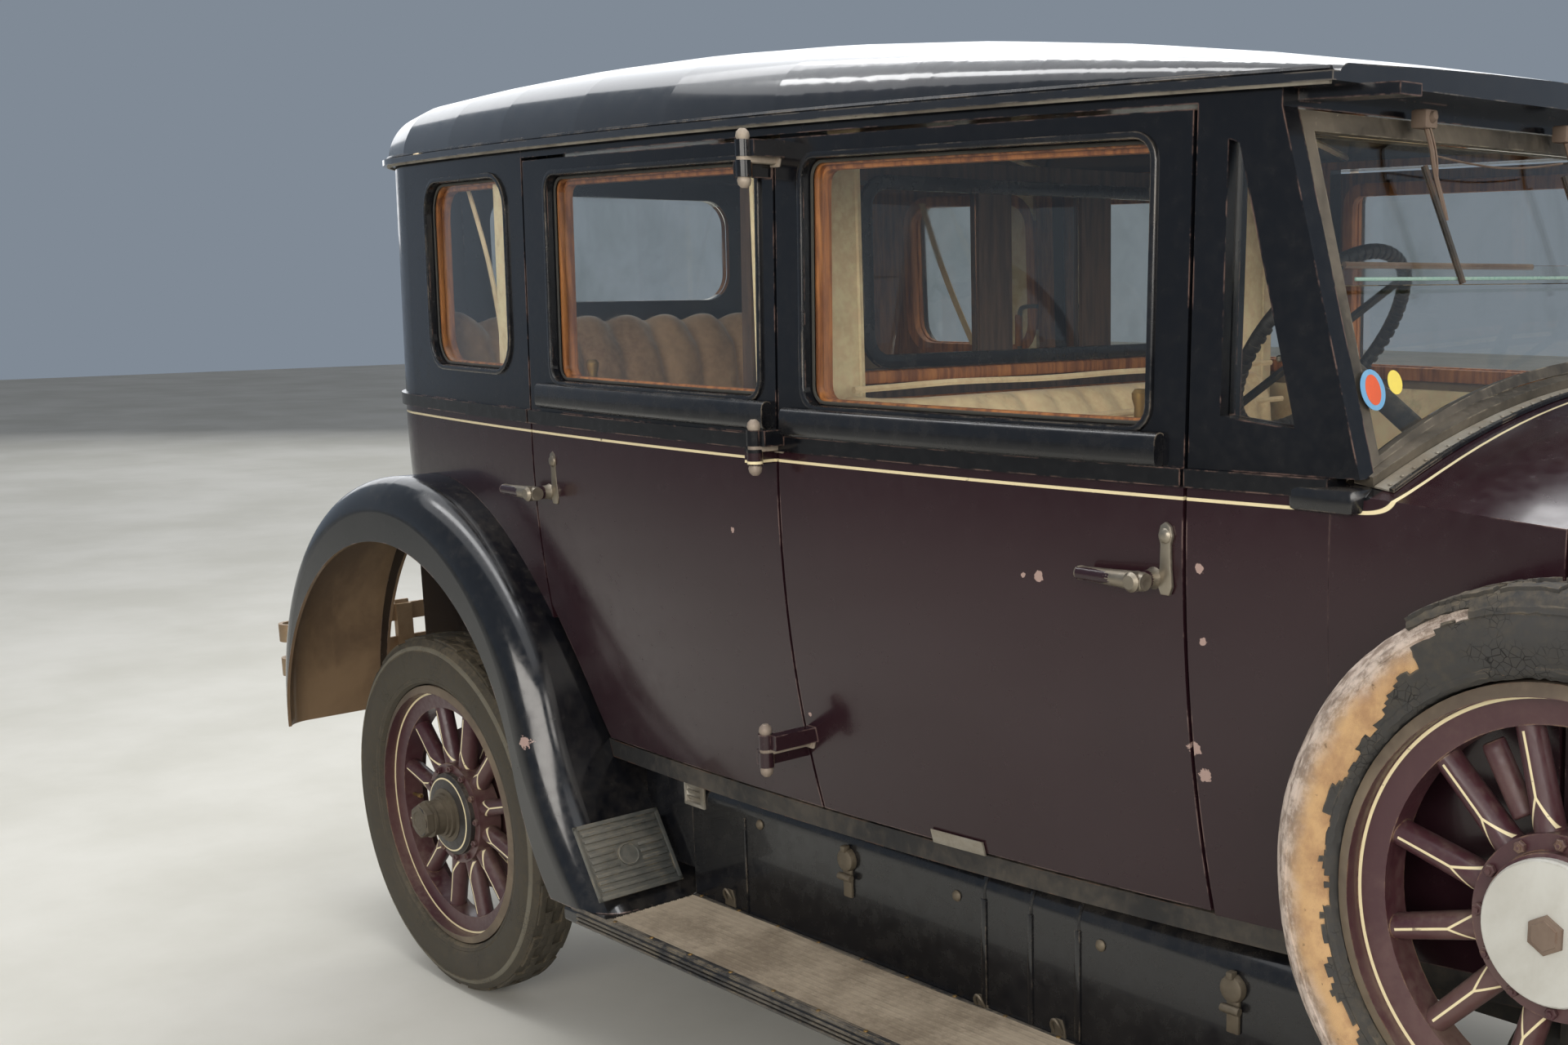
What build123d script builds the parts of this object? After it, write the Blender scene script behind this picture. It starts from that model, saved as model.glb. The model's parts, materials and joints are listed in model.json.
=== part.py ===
"""A long closed car of the 1920s, millimetres, +X forward, +Y to the car's left, +Z up.

The origin is on the floor, midway between the faces of the two bumpers.
Lengths along the car are named as stations measured forward from the rear axle.
Pieces that come in pairs are drawn on the left and mirrored.
"""
from math import atan, atan2, cos, degrees, pi, radians, sin, tan
import os

from build123d import *

# Wheels and chassis
wheelbase = 3683
front_reach = 760
rear_reach = 960
tyre_radius = 415
tyre_width = 127
rim_radius = 300
wheel_plane_y = 711
spoke_count = 12
kingpin_y = 600
rail_y = 370
rail_width = 50
rail_bottom_z = 545
rail_top_z = 660

# Closed body
wall = 34
floor_thickness = 36
back_x_from_axle = -400
corner_x_from_axle = -100
back_flat_half = 362
corner_half = 705
widest_x_from_axle = 1335
widest_half = 795
post_x_from_axle = 2440
post_half = 697
belt_z = 1350
rail_edge_z = 1860
sill_inset = 75
waist_inset = 22
waist_z = 950
top_inset = 14
moulding = 9
moulding_height = 26

# Doors and glass, stations forward from the rear axle
rear_shut_from_axle = 515
pillar_from_axle = 1335
front_shut_from_axle = 2168
shut_gap = 6
door_top_z = 1838
glass = 5
hinge_y = 842
hinge_radius = 7
pin_clearance = 0.3

# Front of the body
hood_seam_from_axle = 2700
hood_seam_half = 650
crease_z = 1345
crease_seam_z = 1320
cowl_top_z = 1462
hood_top_z = 1450
hood_front_half = 318
hood_front_crease_z = 1235
hood_front_top_z = 1405
radiator_back_behind_axle = 90
radiator_half = 325
radiator_depth = 110

# Fenders and running boards
fender_outer_y = 870
fender_sheet = 7
fender_edge_radius = 72
board_top_z = 400
board_thickness = 34
board_inner_y = 655
board_rear_from_axle = 690
board_front_from_axle = 2640

# Spare wheels in the front fenders
spare_from_axle = 2782
spare_y = 750
spare_z = 864

# Derived stations
rear_axle_x = (rear_reach - front_reach - wheelbase) / 2
front_axle_x = rear_axle_x + wheelbase
front_face_x = front_axle_x + front_reach
rear_face_x = rear_axle_x - rear_reach
axle_z = tyre_radius
back_x = rear_axle_x + back_x_from_axle
corner_x = rear_axle_x + corner_x_from_axle
widest_x = rear_axle_x + widest_x_from_axle
post_x = rear_axle_x + post_x_from_axle
rear_shut_x = rear_axle_x + rear_shut_from_axle
pillar_x = rear_axle_x + pillar_from_axle
front_shut_x = rear_axle_x + front_shut_from_axle
hood_seam_x = rear_axle_x + hood_seam_from_axle
radiator_back_x = front_axle_x - radiator_back_behind_axle
spare_x = rear_axle_x + spare_from_axle
sill_z = rail_top_z + floor_thickness

os.makedirs("parts", exist_ok=True)

# Heights and insets of the body's side, below and above its belt
lower_sections = ((sill_z, sill_inset), (waist_z, waist_inset), (belt_z, 0))
upper_sections = ((belt_z, 0), (rail_edge_z, top_inset))


def plan(inset):
    """The body's outline seen from above, drawn inset from its belt line."""
    with BuildSketch() as sketch:
        with BuildLine():
            back = Line((back_x + inset, 0), (back_x + inset, back_flat_half))
            corner = TangentArc(back @ 1, (corner_x, corner_half - inset), tangent=(0, 1))
            side = ThreePointArc(
                corner @ 1, (widest_x, widest_half - inset), (post_x, post_half - inset)
            )
            Line(side @ 1, (post_x, 0))
            mirror(about=Plane.XZ)
        make_face()
    return sketch.sketch


def body_half_at(x):
    """Half width of the body at its belt, by the circle through the three side points."""
    ax, ay, bx, by, cx, cy = corner_x, corner_half, widest_x, widest_half, post_x, post_half
    d = 2 * (ax * (by - cy) + bx * (cy - ay) + cx * (ay - by))
    ux = ((ax**2 + ay**2) * (by - cy) + (bx**2 + by**2) * (cy - ay) + (cx**2 + cy**2) * (ay - by)) / d
    uy = ((ax**2 + ay**2) * (cx - bx) + (bx**2 + by**2) * (ax - cx) + (cx**2 + cy**2) * (bx - ax)) / d
    radius = ((ax - ux) ** 2 + (ay - uy) ** 2) ** 0.5
    return uy + (radius**2 - (x - ux) ** 2) ** 0.5


def inset_at(z):
    """How far the body's side lies inside its belt line at a height."""
    if z >= belt_z:
        return top_inset * (z - belt_z) / (rail_edge_z - belt_z)
    (z0, i0), (z1, i1), (z2, i2) = lower_sections
    part0 = i0 * (z - z1) * (z - z2) / ((z0 - z1) * (z0 - z2))
    part1 = i1 * (z - z0) * (z - z2) / ((z1 - z0) * (z1 - z2))
    return part0 + part1


def plan_half_at(x):
    """Half width of the body at its belt, round the rear corners too."""
    if x >= corner_x:
        return body_half_at(x)
    along, across = corner_x - back_x, corner_half - back_flat_half
    radius = (along**2 + across**2) / (2 * along)
    return back_flat_half + max(radius**2 - (back_x + radius - x) ** 2, 0) ** 0.5


def side_plane(y=0):
    """A plane seen from the car's left, drawn in stations from the rear axle and heights."""
    return Plane(origin=(rear_axle_x, y, 0), x_dir=(1, 0, 0), z_dir=(0, -1, 0))


def cross_plane(x):
    """A plane across the car, drawn in distances to the left and heights."""
    return Plane(origin=(x, 0, 0), x_dir=(0, 1, 0), z_dir=(1, 0, 0))


def save(builder, name):
    """Label a finished piece and write it to its own file."""
    builder.part.label = name
    export_step(builder.part, f"parts/{name}.step")


# The closed body as one hollow ring, from which the panels and doors are cut
with BuildPart() as body_ring:
    for z, inset in lower_sections:
        with BuildSketch(Plane.XY.offset(z)):
            add(plan(inset))
    loft()
    for z, inset in upper_sections:
        with BuildSketch(Plane.XY.offset(z)):
            add(plan(inset))
    loft(ruled=True)
    with BuildSketch(Plane.XY.offset(belt_z - moulding_height / 2)):
        add(plan(-moulding))
    extrude(amount=moulding_height)
    for z, inset in lower_sections:
        with BuildSketch(Plane.XY.offset(z)):
            add(plan(inset + wall))
    loft(mode=Mode.SUBTRACT)
    for z, inset in upper_sections:
        with BuildSketch(Plane.XY.offset(z)):
            add(plan(inset + wall))
    loft(ruled=True, mode=Mode.SUBTRACT)
    with Locations((post_x, 0, (sill_z + rail_edge_z) / 2)):
        Box(2 * wall + 10, 2 * (post_half - sill_inset - wall), rail_edge_z, mode=Mode.SUBTRACT)


# The posts behind the door edges, from a second ring just inside the first
post_gap = 8
post_thickness = 40
with BuildPart() as post_ring:
    for inset_extra, mode in ((wall + post_gap, Mode.ADD), (wall + post_gap + post_thickness, Mode.SUBTRACT)):
        for z, inset in lower_sections:
            with BuildSketch(Plane.XY.offset(z)):
                add(plan(inset + inset_extra))
        loft(mode=mode)
        for z, inset in upper_sections:
            with BuildSketch(Plane.XY.offset(z)):
                add(plan(inset + inset_extra))
        loft(ruled=True, mode=mode)

# Windows: name, station of each side, bottom, top
quarter_window = (30, 432, 1436, 1812)
rear_door_window = (615, 1288, 1424, 1806)
front_door_window = (1408, 2100, 1416, 1803)
back_window_half = 350
back_window_bottom_z = 1556
back_window_top_z = 1815
back_window_radius = 70
window_radius = 28
quarter_window_radius = 62
through = 2 * widest_half + 100


def window_cut(window, radius, inset=0):
    """A rounded window outline, inset for a rebate or glass."""
    rear, front, bottom, top = window
    with BuildSketch() as sketch:
        with Locations(((rear + front) / 2, (bottom + top) / 2)):
            RectangleRounded(front - rear - 2 * inset, top - bottom - 2 * inset, radius)
    return sketch.sketch


# The wheel houses stand this far from the middle of the car
house_y = 602

# Rear fender outline: crown, then the lip of its wheel opening
rear_crown_z = 1195
rear_crown_station = 30
rear_tail = (-600, 545)
rear_break = (592, 765)
rear_foot = (824, board_top_z)
rear_lip_top_z = 1058
rear_lip_tail = (-556, 530)
rear_lip_break = (520, 655)
rear_lip_foot = (640, board_top_z)


def fender_outline(crown, tail, bend, foot, way, shift):
    """The side view under a fender's crown, its top shifted outward; way is the tail's side."""
    top = (crown[0], crown[1] + shift)
    end = (tail[0] + way * shift, tail[1])
    middle = (bend[0] - 0.96 * way * shift, bend[1] + 0.29 * shift)
    landing = (foot[0] - 1.4 * way * shift, foot[1])
    low = board_top_z - 60
    with BuildSketch() as sketch:
        with BuildLine():
            over = TangentArc(top, end, tangent=(way, 0))
            down = TangentArc(top, middle, tangent=(-way, 0))
            TangentArc(down @ 1, landing, tangent=down % 1)
            Polyline(landing, (landing[0], low), (end[0], low), over @ 1)
        make_face()
    return sketch.sketch


def rear_fender_outline(shift=0):
    """The rear fender's outline in stations from the rear axle."""
    crown = (rear_crown_station, rear_crown_z)
    return fender_outline(crown, rear_tail, rear_break, rear_foot, -1, shift)


def rear_lip_outline():
    """The wheel opening in the rear fender's outer side."""
    low = board_top_z - 80
    with BuildSketch() as sketch:
        with BuildLine():
            over = TangentArc((rear_crown_station, rear_lip_top_z), rear_lip_tail, tangent=(-1, 0))
            down = TangentArc((rear_crown_station, rear_lip_top_z), rear_lip_break, tangent=(1, 0))
            run = TangentArc(down @ 1, rear_lip_foot, tangent=down % 1)
            Polyline(run @ 1, (rear_lip_foot[0], low), (rear_lip_tail[0], low), over @ 1)
        make_face()
    return sketch.sketch


# Front fender outline, in stations from the front axle
front_crown_z = 1030
front_crown_station = 10
front_nose = (560, 640)
front_break = (-570, 735)
front_foot = (board_front_from_axle - wheelbase - 150, board_top_z)
front_lip_top_z = 925
front_lip_nose = (520, 610)
front_lip_break = (-505, 640)
front_lip_foot = (front_foot[0] + 120, board_top_z)


def front_plane(y=0):
    """A plane seen from the car's left, drawn in stations from the front axle and heights."""
    return Plane(origin=(front_axle_x, y, 0), x_dir=(1, 0, 0), z_dir=(0, -1, 0))


def front_fender_outline(shift=0):
    """The front fender's outline in stations from the front axle."""
    crown = (front_crown_station, front_crown_z)
    return fender_outline(crown, front_nose, front_break, front_foot, 1, shift)


def front_lip_outline():
    """The wheel opening in the front fender's outer side."""
    low = board_top_z - 80
    with BuildSketch() as sketch:
        with BuildLine():
            over = TangentArc((front_crown_station, front_lip_top_z), front_lip_nose, tangent=(1, 0))
            down = TangentArc((front_crown_station, front_lip_top_z), front_lip_break, tangent=(-1, 0))
            run = TangentArc(down @ 1, front_lip_foot, tangent=down % 1)
            Polyline(run @ 1, (front_lip_foot[0], low), (front_lip_nose[0], low), over @ 1)
        make_face()
    return sketch.sketch


# Rear quarter panels, each with its corner and window
back_split_half = 425
seam = 0.3
with BuildPart() as quarter_panels:
    add(body_ring)
    with BuildSketch(Plane.XY.offset(sill_z)):
        with Locations(((back_x + rear_shut_x - shut_gap / 2) / 2 - 100, 0)):
            Rectangle(rear_shut_x - shut_gap / 2 - back_x + 200, through)
    extrude(amount=rail_edge_z - sill_z, mode=Mode.INTERSECT)
    with Locations((back_x, 0, (sill_z + rail_edge_z) / 2)):
        Box(700, 2 * back_split_half, rail_edge_z, mode=Mode.SUBTRACT)
    with BuildSketch(side_plane()):
        add(window_cut(quarter_window, quarter_window_radius))
    extrude(amount=through / 2, both=True, mode=Mode.SUBTRACT)
    for y, reach in ((-house_y, widest_half), (house_y, -widest_half)):
        with BuildSketch(side_plane(y)):
            add(rear_fender_outline(seam))
        extrude(amount=reach, mode=Mode.SUBTRACT)
save(quarter_panels, "quarter_panels")

with BuildPart() as back_panel:
    add(body_ring)
    with Locations((back_x, 0, (sill_z + rail_edge_z) / 2)):
        Box(400, 2 * (back_split_half - seam), rail_edge_z - sill_z, mode=Mode.INTERSECT)
    with BuildSketch(Plane.YZ.offset(back_x)):
        with Locations((0, (back_window_bottom_z + back_window_top_z) / 2)):
            RectangleRounded(
                2 * back_window_half, back_window_top_z - back_window_bottom_z, back_window_radius
            )
    extrude(amount=4 * wall, both=True, mode=Mode.SUBTRACT)
save(back_panel, "back_panel")

# Side frames: roof rails, the posts between the doors, and the sloping front posts
screen_foot_station = 2418
screen_head_station = 2298
screen_head_z = 1835
post_width = 62
front_post_width = 52
sill_step = 20
header_depth = 44
header_half = 690
pillar_half = 36
jamb_half = 26
hinge_heights = (830, 1345, 1805)
hinge_knuckle = 26
hinge_leaf = 5
hinge_leaf_half = 8
hinge_slack = 0.4
with BuildPart() as door_posts:
    add(post_ring)
    with BuildSketch(Plane.XY.offset(sill_z)):
        for station, half in (
            (rear_shut_from_axle, jamb_half),
            (pillar_from_axle, pillar_half),
            (front_shut_from_axle, jamb_half),
        ):
            with Locations((rear_axle_x + station, 0)):
                Rectangle(2 * half, through)
    extrude(amount=door_top_z + 2 * shut_gap - sill_z, mode=Mode.INTERSECT)
    for y, reach in ((-house_y, widest_half), (house_y, -widest_half)):
        with BuildSketch(side_plane(y)):
            add(rear_fender_outline(seam))
        extrude(amount=reach, mode=Mode.SUBTRACT)
with BuildPart() as side_frames:
    add(body_ring)
    with BuildSketch(side_plane()):
        with BuildLine():
            Polyline(
                (rear_shut_from_axle - shut_gap / 2 + seam, rail_edge_z),
                (rear_shut_from_axle - shut_gap / 2 + seam, door_top_z + shut_gap),
                (front_shut_from_axle + shut_gap / 2, door_top_z + shut_gap),
                (front_shut_from_axle + shut_gap / 2, belt_z + moulding_height / 2),
                (screen_foot_station + 12, belt_z + moulding_height / 2),
                (screen_head_station, screen_head_z),
                (screen_head_station, rail_edge_z),
                close=True,
            )
        make_face()
    extrude(amount=through / 2, both=True, mode=Mode.INTERSECT)
    with BuildSketch(side_plane()):
        with BuildLine():
            Polyline(
                (front_shut_from_axle + front_post_width, 1436),
                (screen_foot_station - post_width - 22, 1424),
                (screen_head_station - post_width, 1792),
                (front_shut_from_axle + front_post_width, 1797),
                close=True,
            )
        make_face()
    extrude(amount=through / 2, both=True, mode=Mode.SUBTRACT)
    with BuildSketch(Plane.XY.offset(door_top_z + shut_gap)):
        add(plan(top_inset + wall - 1))
        add(plan(top_inset + wall + post_gap + post_thickness), mode=Mode.SUBTRACT)
        with Locations((back_x, 0)):
            Rectangle(2 * (rear_shut_x - shut_gap / 2 + seam - back_x), through, mode=Mode.SUBTRACT)
    extrude(amount=rail_edge_z - door_top_z - shut_gap)
    with Locations((rear_axle_x + screen_head_station - header_depth / 2, 0, (screen_head_z + rail_edge_z) / 2)):
        Box(header_depth, 2 * header_half, rail_edge_z - screen_head_z)
    add(door_posts)
    for z in hinge_heights:
        root = body_half_at(pillar_x) - inset_at(z) - wall - post_gap - hinge_leaf
        for way in (-1, 1):
            with Locations((pillar_x, way * hinge_y, z)):
                Cylinder(hinge_radius, 2 * hinge_knuckle + hinge_leaf)
            with Locations((pillar_x, way * (root + hinge_y) / 2, z)):
                Box(2 * hinge_leaf_half, hinge_y - root, hinge_leaf)
save(side_frames, "side_frames")

# Roof: domed sections across the car, highest over the rear seat
roof_rise = 222
roof_peak_station = 450
roof_crown_radius = 10200
roof_front_station = 2385
roof_stations = (-398, -385, -355, -300, -200, -60, 200, 450, 750, 1050, 1350, 1650, 1900, 2150, 2300, 2385)
roof_sheet = 45
roof_lining_inset = 62


def rise_at(station):
    """Height of the dome over the roof rails: one long arc, rounded down at the back."""
    crown = roof_rise - (station - roof_peak_station) ** 2 / (2 * roof_crown_radius)
    past = max(0, (corner_x_from_axle - station) / (corner_x_from_axle - back_x_from_axle))
    return crown * max(1 - past**2, 0) ** 0.5


def roof_section(x, rise, inset, drop):
    """One dome section: upright at its edge, then two arcs that meet smoothly."""
    half = plan_half_at(x) - inset
    side = 0.59 * rise
    lean = 0.8 * side
    for _ in range(4):
        turn = 2 * atan((rise - side) / (half - lean))
        lean = side * tan(pi / 4 - turn / 2)
    with BuildSketch(cross_plane(x)) as sketch:
        with BuildLine():
            base = rail_edge_z - drop
            edge = TangentArc((half, base), (half - lean, base + side), tangent=(0, 1))
            ThreePointArc(edge @ 1, (0, base + rise), (-half + lean, base + side))
            TangentArc((-half, base), (-half + lean, base + side), tangent=(0, 1))
            Line((-half, base), (half, base))
        make_face()
    return sketch.sketch


drip_height = 12
drip_reach = 12
with BuildPart() as roof:
    for station in roof_stations:
        add(roof_section(rear_axle_x + station, rise_at(station), 0, 0))
    loft(ruled=True)
    with BuildSketch(Plane.XY.offset(rail_edge_z)):
        add(plan(-drip_reach))
        with Locations((post_x, 0)):
            Rectangle(2 * (post_x - rear_axle_x - roof_front_station), through, mode=Mode.SUBTRACT)
    extrude(amount=drip_height)
    for station in roof_stations[4:-2]:
        add(roof_section(rear_axle_x + station, rise_at(station) - roof_sheet, roof_lining_inset, 1))
    loft(ruled=True, mode=Mode.SUBTRACT)
save(roof, "roof")

# Doors
door_height = door_top_z - sill_z - shut_gap
door_fender_gap = 21
door_middle_z = (door_top_z + sill_z + shut_gap) / 2
with BuildPart() as rear_door_left:
    add(body_ring)
    with BuildSketch(side_plane()):
        with Locations(((rear_shut_from_axle + pillar_from_axle) / 2, door_middle_z)):
            Rectangle(pillar_from_axle - rear_shut_from_axle - shut_gap, door_height)
        add(window_cut(rear_door_window, window_radius), mode=Mode.SUBTRACT)
        add(rear_fender_outline(door_fender_gap), mode=Mode.SUBTRACT)
    extrude(amount=-through / 2, mode=Mode.INTERSECT)
with BuildPart() as front_door_left:
    add(body_ring)
    with BuildSketch(side_plane()):
        with Locations(((front_shut_from_axle + pillar_from_axle) / 2, door_middle_z)):
            Rectangle(front_shut_from_axle - pillar_from_axle - shut_gap, door_height)
        add(window_cut(front_door_window, window_radius), mode=Mode.SUBTRACT)
    extrude(amount=-through / 2, mode=Mode.INTERSECT)

hinge_boss = 13
notch_clear = 5


def door_hinges(way):
    """A door's knuckles and straps; way is the side on which the door lies."""
    shift = 0.5 * (hinge_knuckle + hinge_leaf) + hinge_slack
    with BuildPart() as hinges:
        for z in hinge_heights:
            half = body_half_at(pillar_x) - inset_at(z)
            with Locations((pillar_x, hinge_y, z + way * shift)):
                Cylinder(hinge_boss, hinge_knuckle)
            with Locations((pillar_x + way * 17, (hinge_y + half) / 2 - 5, z + way * shift)):
                Box(22, hinge_y - half + 10, hinge_knuckle)
        for z in hinge_heights:
            with Locations((pillar_x, hinge_y, z)):
                Cylinder(hinge_radius + pin_clearance, 4 * hinge_knuckle, mode=Mode.SUBTRACT)
    return hinges.part


# Door handles: a turned boss and a lever that points to the rear
handle_z = 1205
handle_reach = 62


def door_handle(x):
    """A lever handle on a boss, its grip pointing to the rear."""
    face = body_half_at(x) - inset_at(handle_z)
    with BuildPart() as handle:
        with BuildSketch(Plane(origin=(x, face - 4, handle_z), x_dir=(1, 0, 0), z_dir=(0, 1, 0))):
            Circle(13)
        extrude(amount=handle_reach - 12)
        for along, across, high in ((12, 9, 11), (-110, 7, 9)):
            with BuildSketch(Plane(origin=(x + along, face + handle_reach - 22, handle_z), z_dir=(-1, 0, 0))):
                Ellipse(high, across)
        loft()
    return handle.part


def hinge_notches():
    """Slots through both doors' edges for the fixed hinge leaves."""
    with BuildPart() as notches:
        for z in hinge_heights:
            with Locations((pillar_x, hinge_y - 60, z)):
                Box(2 * (hinge_leaf_half + notch_clear), 140, hinge_leaf + 2 * notch_clear)
    return notches.part


with BuildPart() as rear_door_leaf:
    add(rear_door_left)
    add(hinge_notches(), mode=Mode.SUBTRACT)
    add(door_hinges(-1))
    add(door_handle(rear_shut_x + 62))
with BuildPart() as front_door_leaf:
    add(front_door_left)
    add(hinge_notches(), mode=Mode.SUBTRACT)
    add(door_hinges(1))
    add(door_handle(front_shut_x - 50))
save(rear_door_leaf, "rear_door_left")
save(front_door_leaf, "front_door_left")
with BuildPart() as rear_door_right:
    add(mirror(rear_door_leaf.part, about=Plane.XZ, mode=Mode.PRIVATE))
with BuildPart() as front_door_right:
    add(mirror(front_door_leaf.part, about=Plane.XZ, mode=Mode.PRIVATE))
save(rear_door_right, "rear_door_right")
save(front_door_right, "front_door_right")

# Rear fenders with their wheel houses
house_back_station = -330
house_flange = 42
house_low_z = 620
foot_lift = 0.6
foot_trim = 13.5


def fender_shell(y_in, outline, lip):
    """A crowned fender: rounded outer edge, open below, its wheel opening cut."""
    width = fender_outer_y - y_in
    with BuildPart() as block:
        with BuildSketch(outline[1](y_in)):
            add(outline[0](0))
        extrude(amount=-width)
        fillet(crown_edges(block, fender_outer_y), fender_edge_radius)
    with BuildPart() as core:
        with BuildSketch(outline[1](y_in + fender_sheet)):
            add(outline[0](-fender_sheet))
        extrude(amount=-(width - 2 * fender_sheet))
        fillet(crown_edges(core, fender_outer_y - fender_sheet), fender_edge_radius - fender_sheet)
    with BuildPart() as shell:
        add(block)
        add(core, mode=Mode.SUBTRACT)
        with BuildSketch(outline[1](fender_outer_y - fender_edge_radius - 10)):
            add(lip())
        extrude(amount=-2 * fender_edge_radius, mode=Mode.SUBTRACT)
    return block.part, shell.part


def crown_edges(builder, y):
    """The curved edges along a fender's outer side."""
    edges = builder.edges().filter_by(GeomType.CIRCLE)
    return edges.filter_by(lambda edge: abs(edge.center().Y - y) < 0.5)


rear_block, rear_shell = fender_shell(house_y, (rear_fender_outline, side_plane), rear_lip_outline)
with BuildPart() as rear_fender_left:
    add(rear_shell)
    with Locations((rear_axle_x, fender_outer_y - 100, board_top_z + foot_lift - 50)):
        Box(2000, 600, 100, mode=Mode.SUBTRACT)
    with Locations((rear_axle_x - 600, fender_outer_y - 100, rear_tail[1] - 200)):
        Box(800, 600, 400, mode=Mode.SUBTRACT)
    with Locations((rear_axle_x, house_y, house_low_z - 200)):
        Box(2 * rear_break[0], 4 * fender_sheet, 400, mode=Mode.SUBTRACT)
    with BuildSketch(side_plane(house_y - 1)):
        add(rear_fender_outline(-house_flange))
        with Locations((house_back_station - 400, 800)):
            Rectangle(800, 1000, mode=Mode.INTERSECT)
    extrude(amount=-2 * fender_sheet, mode=Mode.SUBTRACT)
save(rear_fender_left, "rear_fender_left")
with BuildPart() as rear_fender_right:
    add(mirror(rear_fender_left.part, about=Plane.XZ, mode=Mode.PRIVATE))
save(rear_fender_right, "rear_fender_right")

# Front fenders, each with a well for its spare wheel
front_inner_y = 440
front_flange = 64
well_gap = 14
well_sheet = 6
front_block, front_shell = fender_shell(
    front_inner_y, (front_fender_outline, front_plane), front_lip_outline
)
hood_clear = 8
with BuildPart() as hood_space:
    with BuildSketch():
        with BuildLine():
            Polyline(
                (front_axle_x + front_foot[0] - 50, 0),
                (front_axle_x + front_foot[0] - 50, board_inner_y),
                (hood_seam_x, hood_seam_half + hood_clear),
                (radiator_back_x, hood_front_half + hood_clear),
                (radiator_back_x, 0),
                close=True,
            )
        make_face()
    extrude(amount=front_crown_z + fender_edge_radius)
with BuildPart() as well_core:
    with Locations(Location((spare_x, spare_y, spare_z), (90, 0, 0))):
        Cylinder(tyre_radius + well_gap, tyre_width + 2 * well_gap)
with BuildPart() as well:
    with Locations(Location((spare_x, spare_y, spare_z), (90, 0, 0))):
        Cylinder(tyre_radius + well_gap + well_sheet, tyre_width + 2 * (well_gap + well_sheet))
    add(front_block, mode=Mode.INTERSECT)
    add(well_core, mode=Mode.SUBTRACT)
    add(hood_space, mode=Mode.SUBTRACT)
with BuildPart() as front_fender_left:
    add(front_shell)
    with Locations((front_axle_x, fender_outer_y - 100, board_top_z + foot_lift - 50)):
        Box(3000, 900, 100, mode=Mode.SUBTRACT)
    with Locations((front_axle_x + 600, fender_outer_y - 200, front_nose[1] - 200)):
        Box(800, 700, 400, mode=Mode.SUBTRACT)
    with BuildSketch(front_plane(front_inner_y - 1)):
        add(front_fender_outline(-front_flange))
    extrude(amount=-2 * fender_sheet, mode=Mode.SUBTRACT)
    add(hood_space, mode=Mode.SUBTRACT)
    add(well_core, mode=Mode.SUBTRACT)
    add(well)
    with Locations((front_axle_x, fender_outer_y - 100, board_top_z + foot_lift - 50)):
        Box(3000, 900, 100, mode=Mode.SUBTRACT)
    with Locations((front_axle_x + front_foot[0] + foot_trim - 50, fender_outer_y - 100, board_top_z)):
        Box(100, 900, 300, mode=Mode.SUBTRACT)
save(front_fender_left, "front_fender_left")
with BuildPart() as front_fender_right:
    add(mirror(front_fender_left.part, about=Plane.XZ, mode=Mode.PRIVATE))
save(front_fender_right, "front_fender_right")

# Floor, standing on the chassis rails and notched round the wheel houses
floor_margin = 4
firewall = 24
cowl_foot_half = hood_seam_half - sill_inset
with BuildPart() as body_floor:
    with BuildSketch(Plane.XY.offset(rail_top_z)):
        add(plan(sill_inset + floor_margin))
        with BuildLine():
            Polyline(
                (post_x - 1, post_half - sill_inset - floor_margin),
                (hood_seam_x, cowl_foot_half - floor_margin),
                (hood_seam_x, -cowl_foot_half + floor_margin),
                (post_x - 1, -post_half + sill_inset + floor_margin),
                close=True,
            )
        make_face()
    extrude(amount=floor_thickness)
    for y, reach in ((-house_y, widest_half), (house_y, -widest_half)):
        with BuildSketch(side_plane(y)):
            add(rear_fender_outline(seam))
        extrude(amount=reach, mode=Mode.SUBTRACT)
save(body_floor, "body_floor")

# Cowl: the body's lower side run on to the hood seam, arched over the top, with its firewall
cowl_rear_station = 2390
cowl_rear_half = body_half_at(rear_axle_x + cowl_rear_station)
cowl_sections = (
    (rear_axle_x + cowl_rear_station, cowl_rear_half, crease_z, cowl_top_z),
    (hood_seam_x, hood_seam_half, crease_seam_z, hood_top_z),
)
column_radius = 22
column_angle = 35
column_length = 1290
steering_station = 1629
steering_y = 320
steering_z = 1490


def cowl_section(x, half, crease, top, inset):
    """The cowl's section: curved sides standing on the floor and an arch between sharp edges."""
    foot = half - sill_inset - inset
    waist = half - waist_inset - inset
    edge = (half - inset, crease - 0.4 * inset)
    with BuildSketch(cross_plane(x)) as sketch:
        with BuildLine():
            ThreePointArc((foot, sill_z), (waist, waist_z), edge)
            ThreePointArc(edge, (0, top - inset), (-edge[0], edge[1]))
            ThreePointArc((-edge[0], edge[1]), (-waist, waist_z), (-foot, sill_z))
            Line((-foot, sill_z), (foot, sill_z))
        make_face()
    return sketch.sketch


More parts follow.
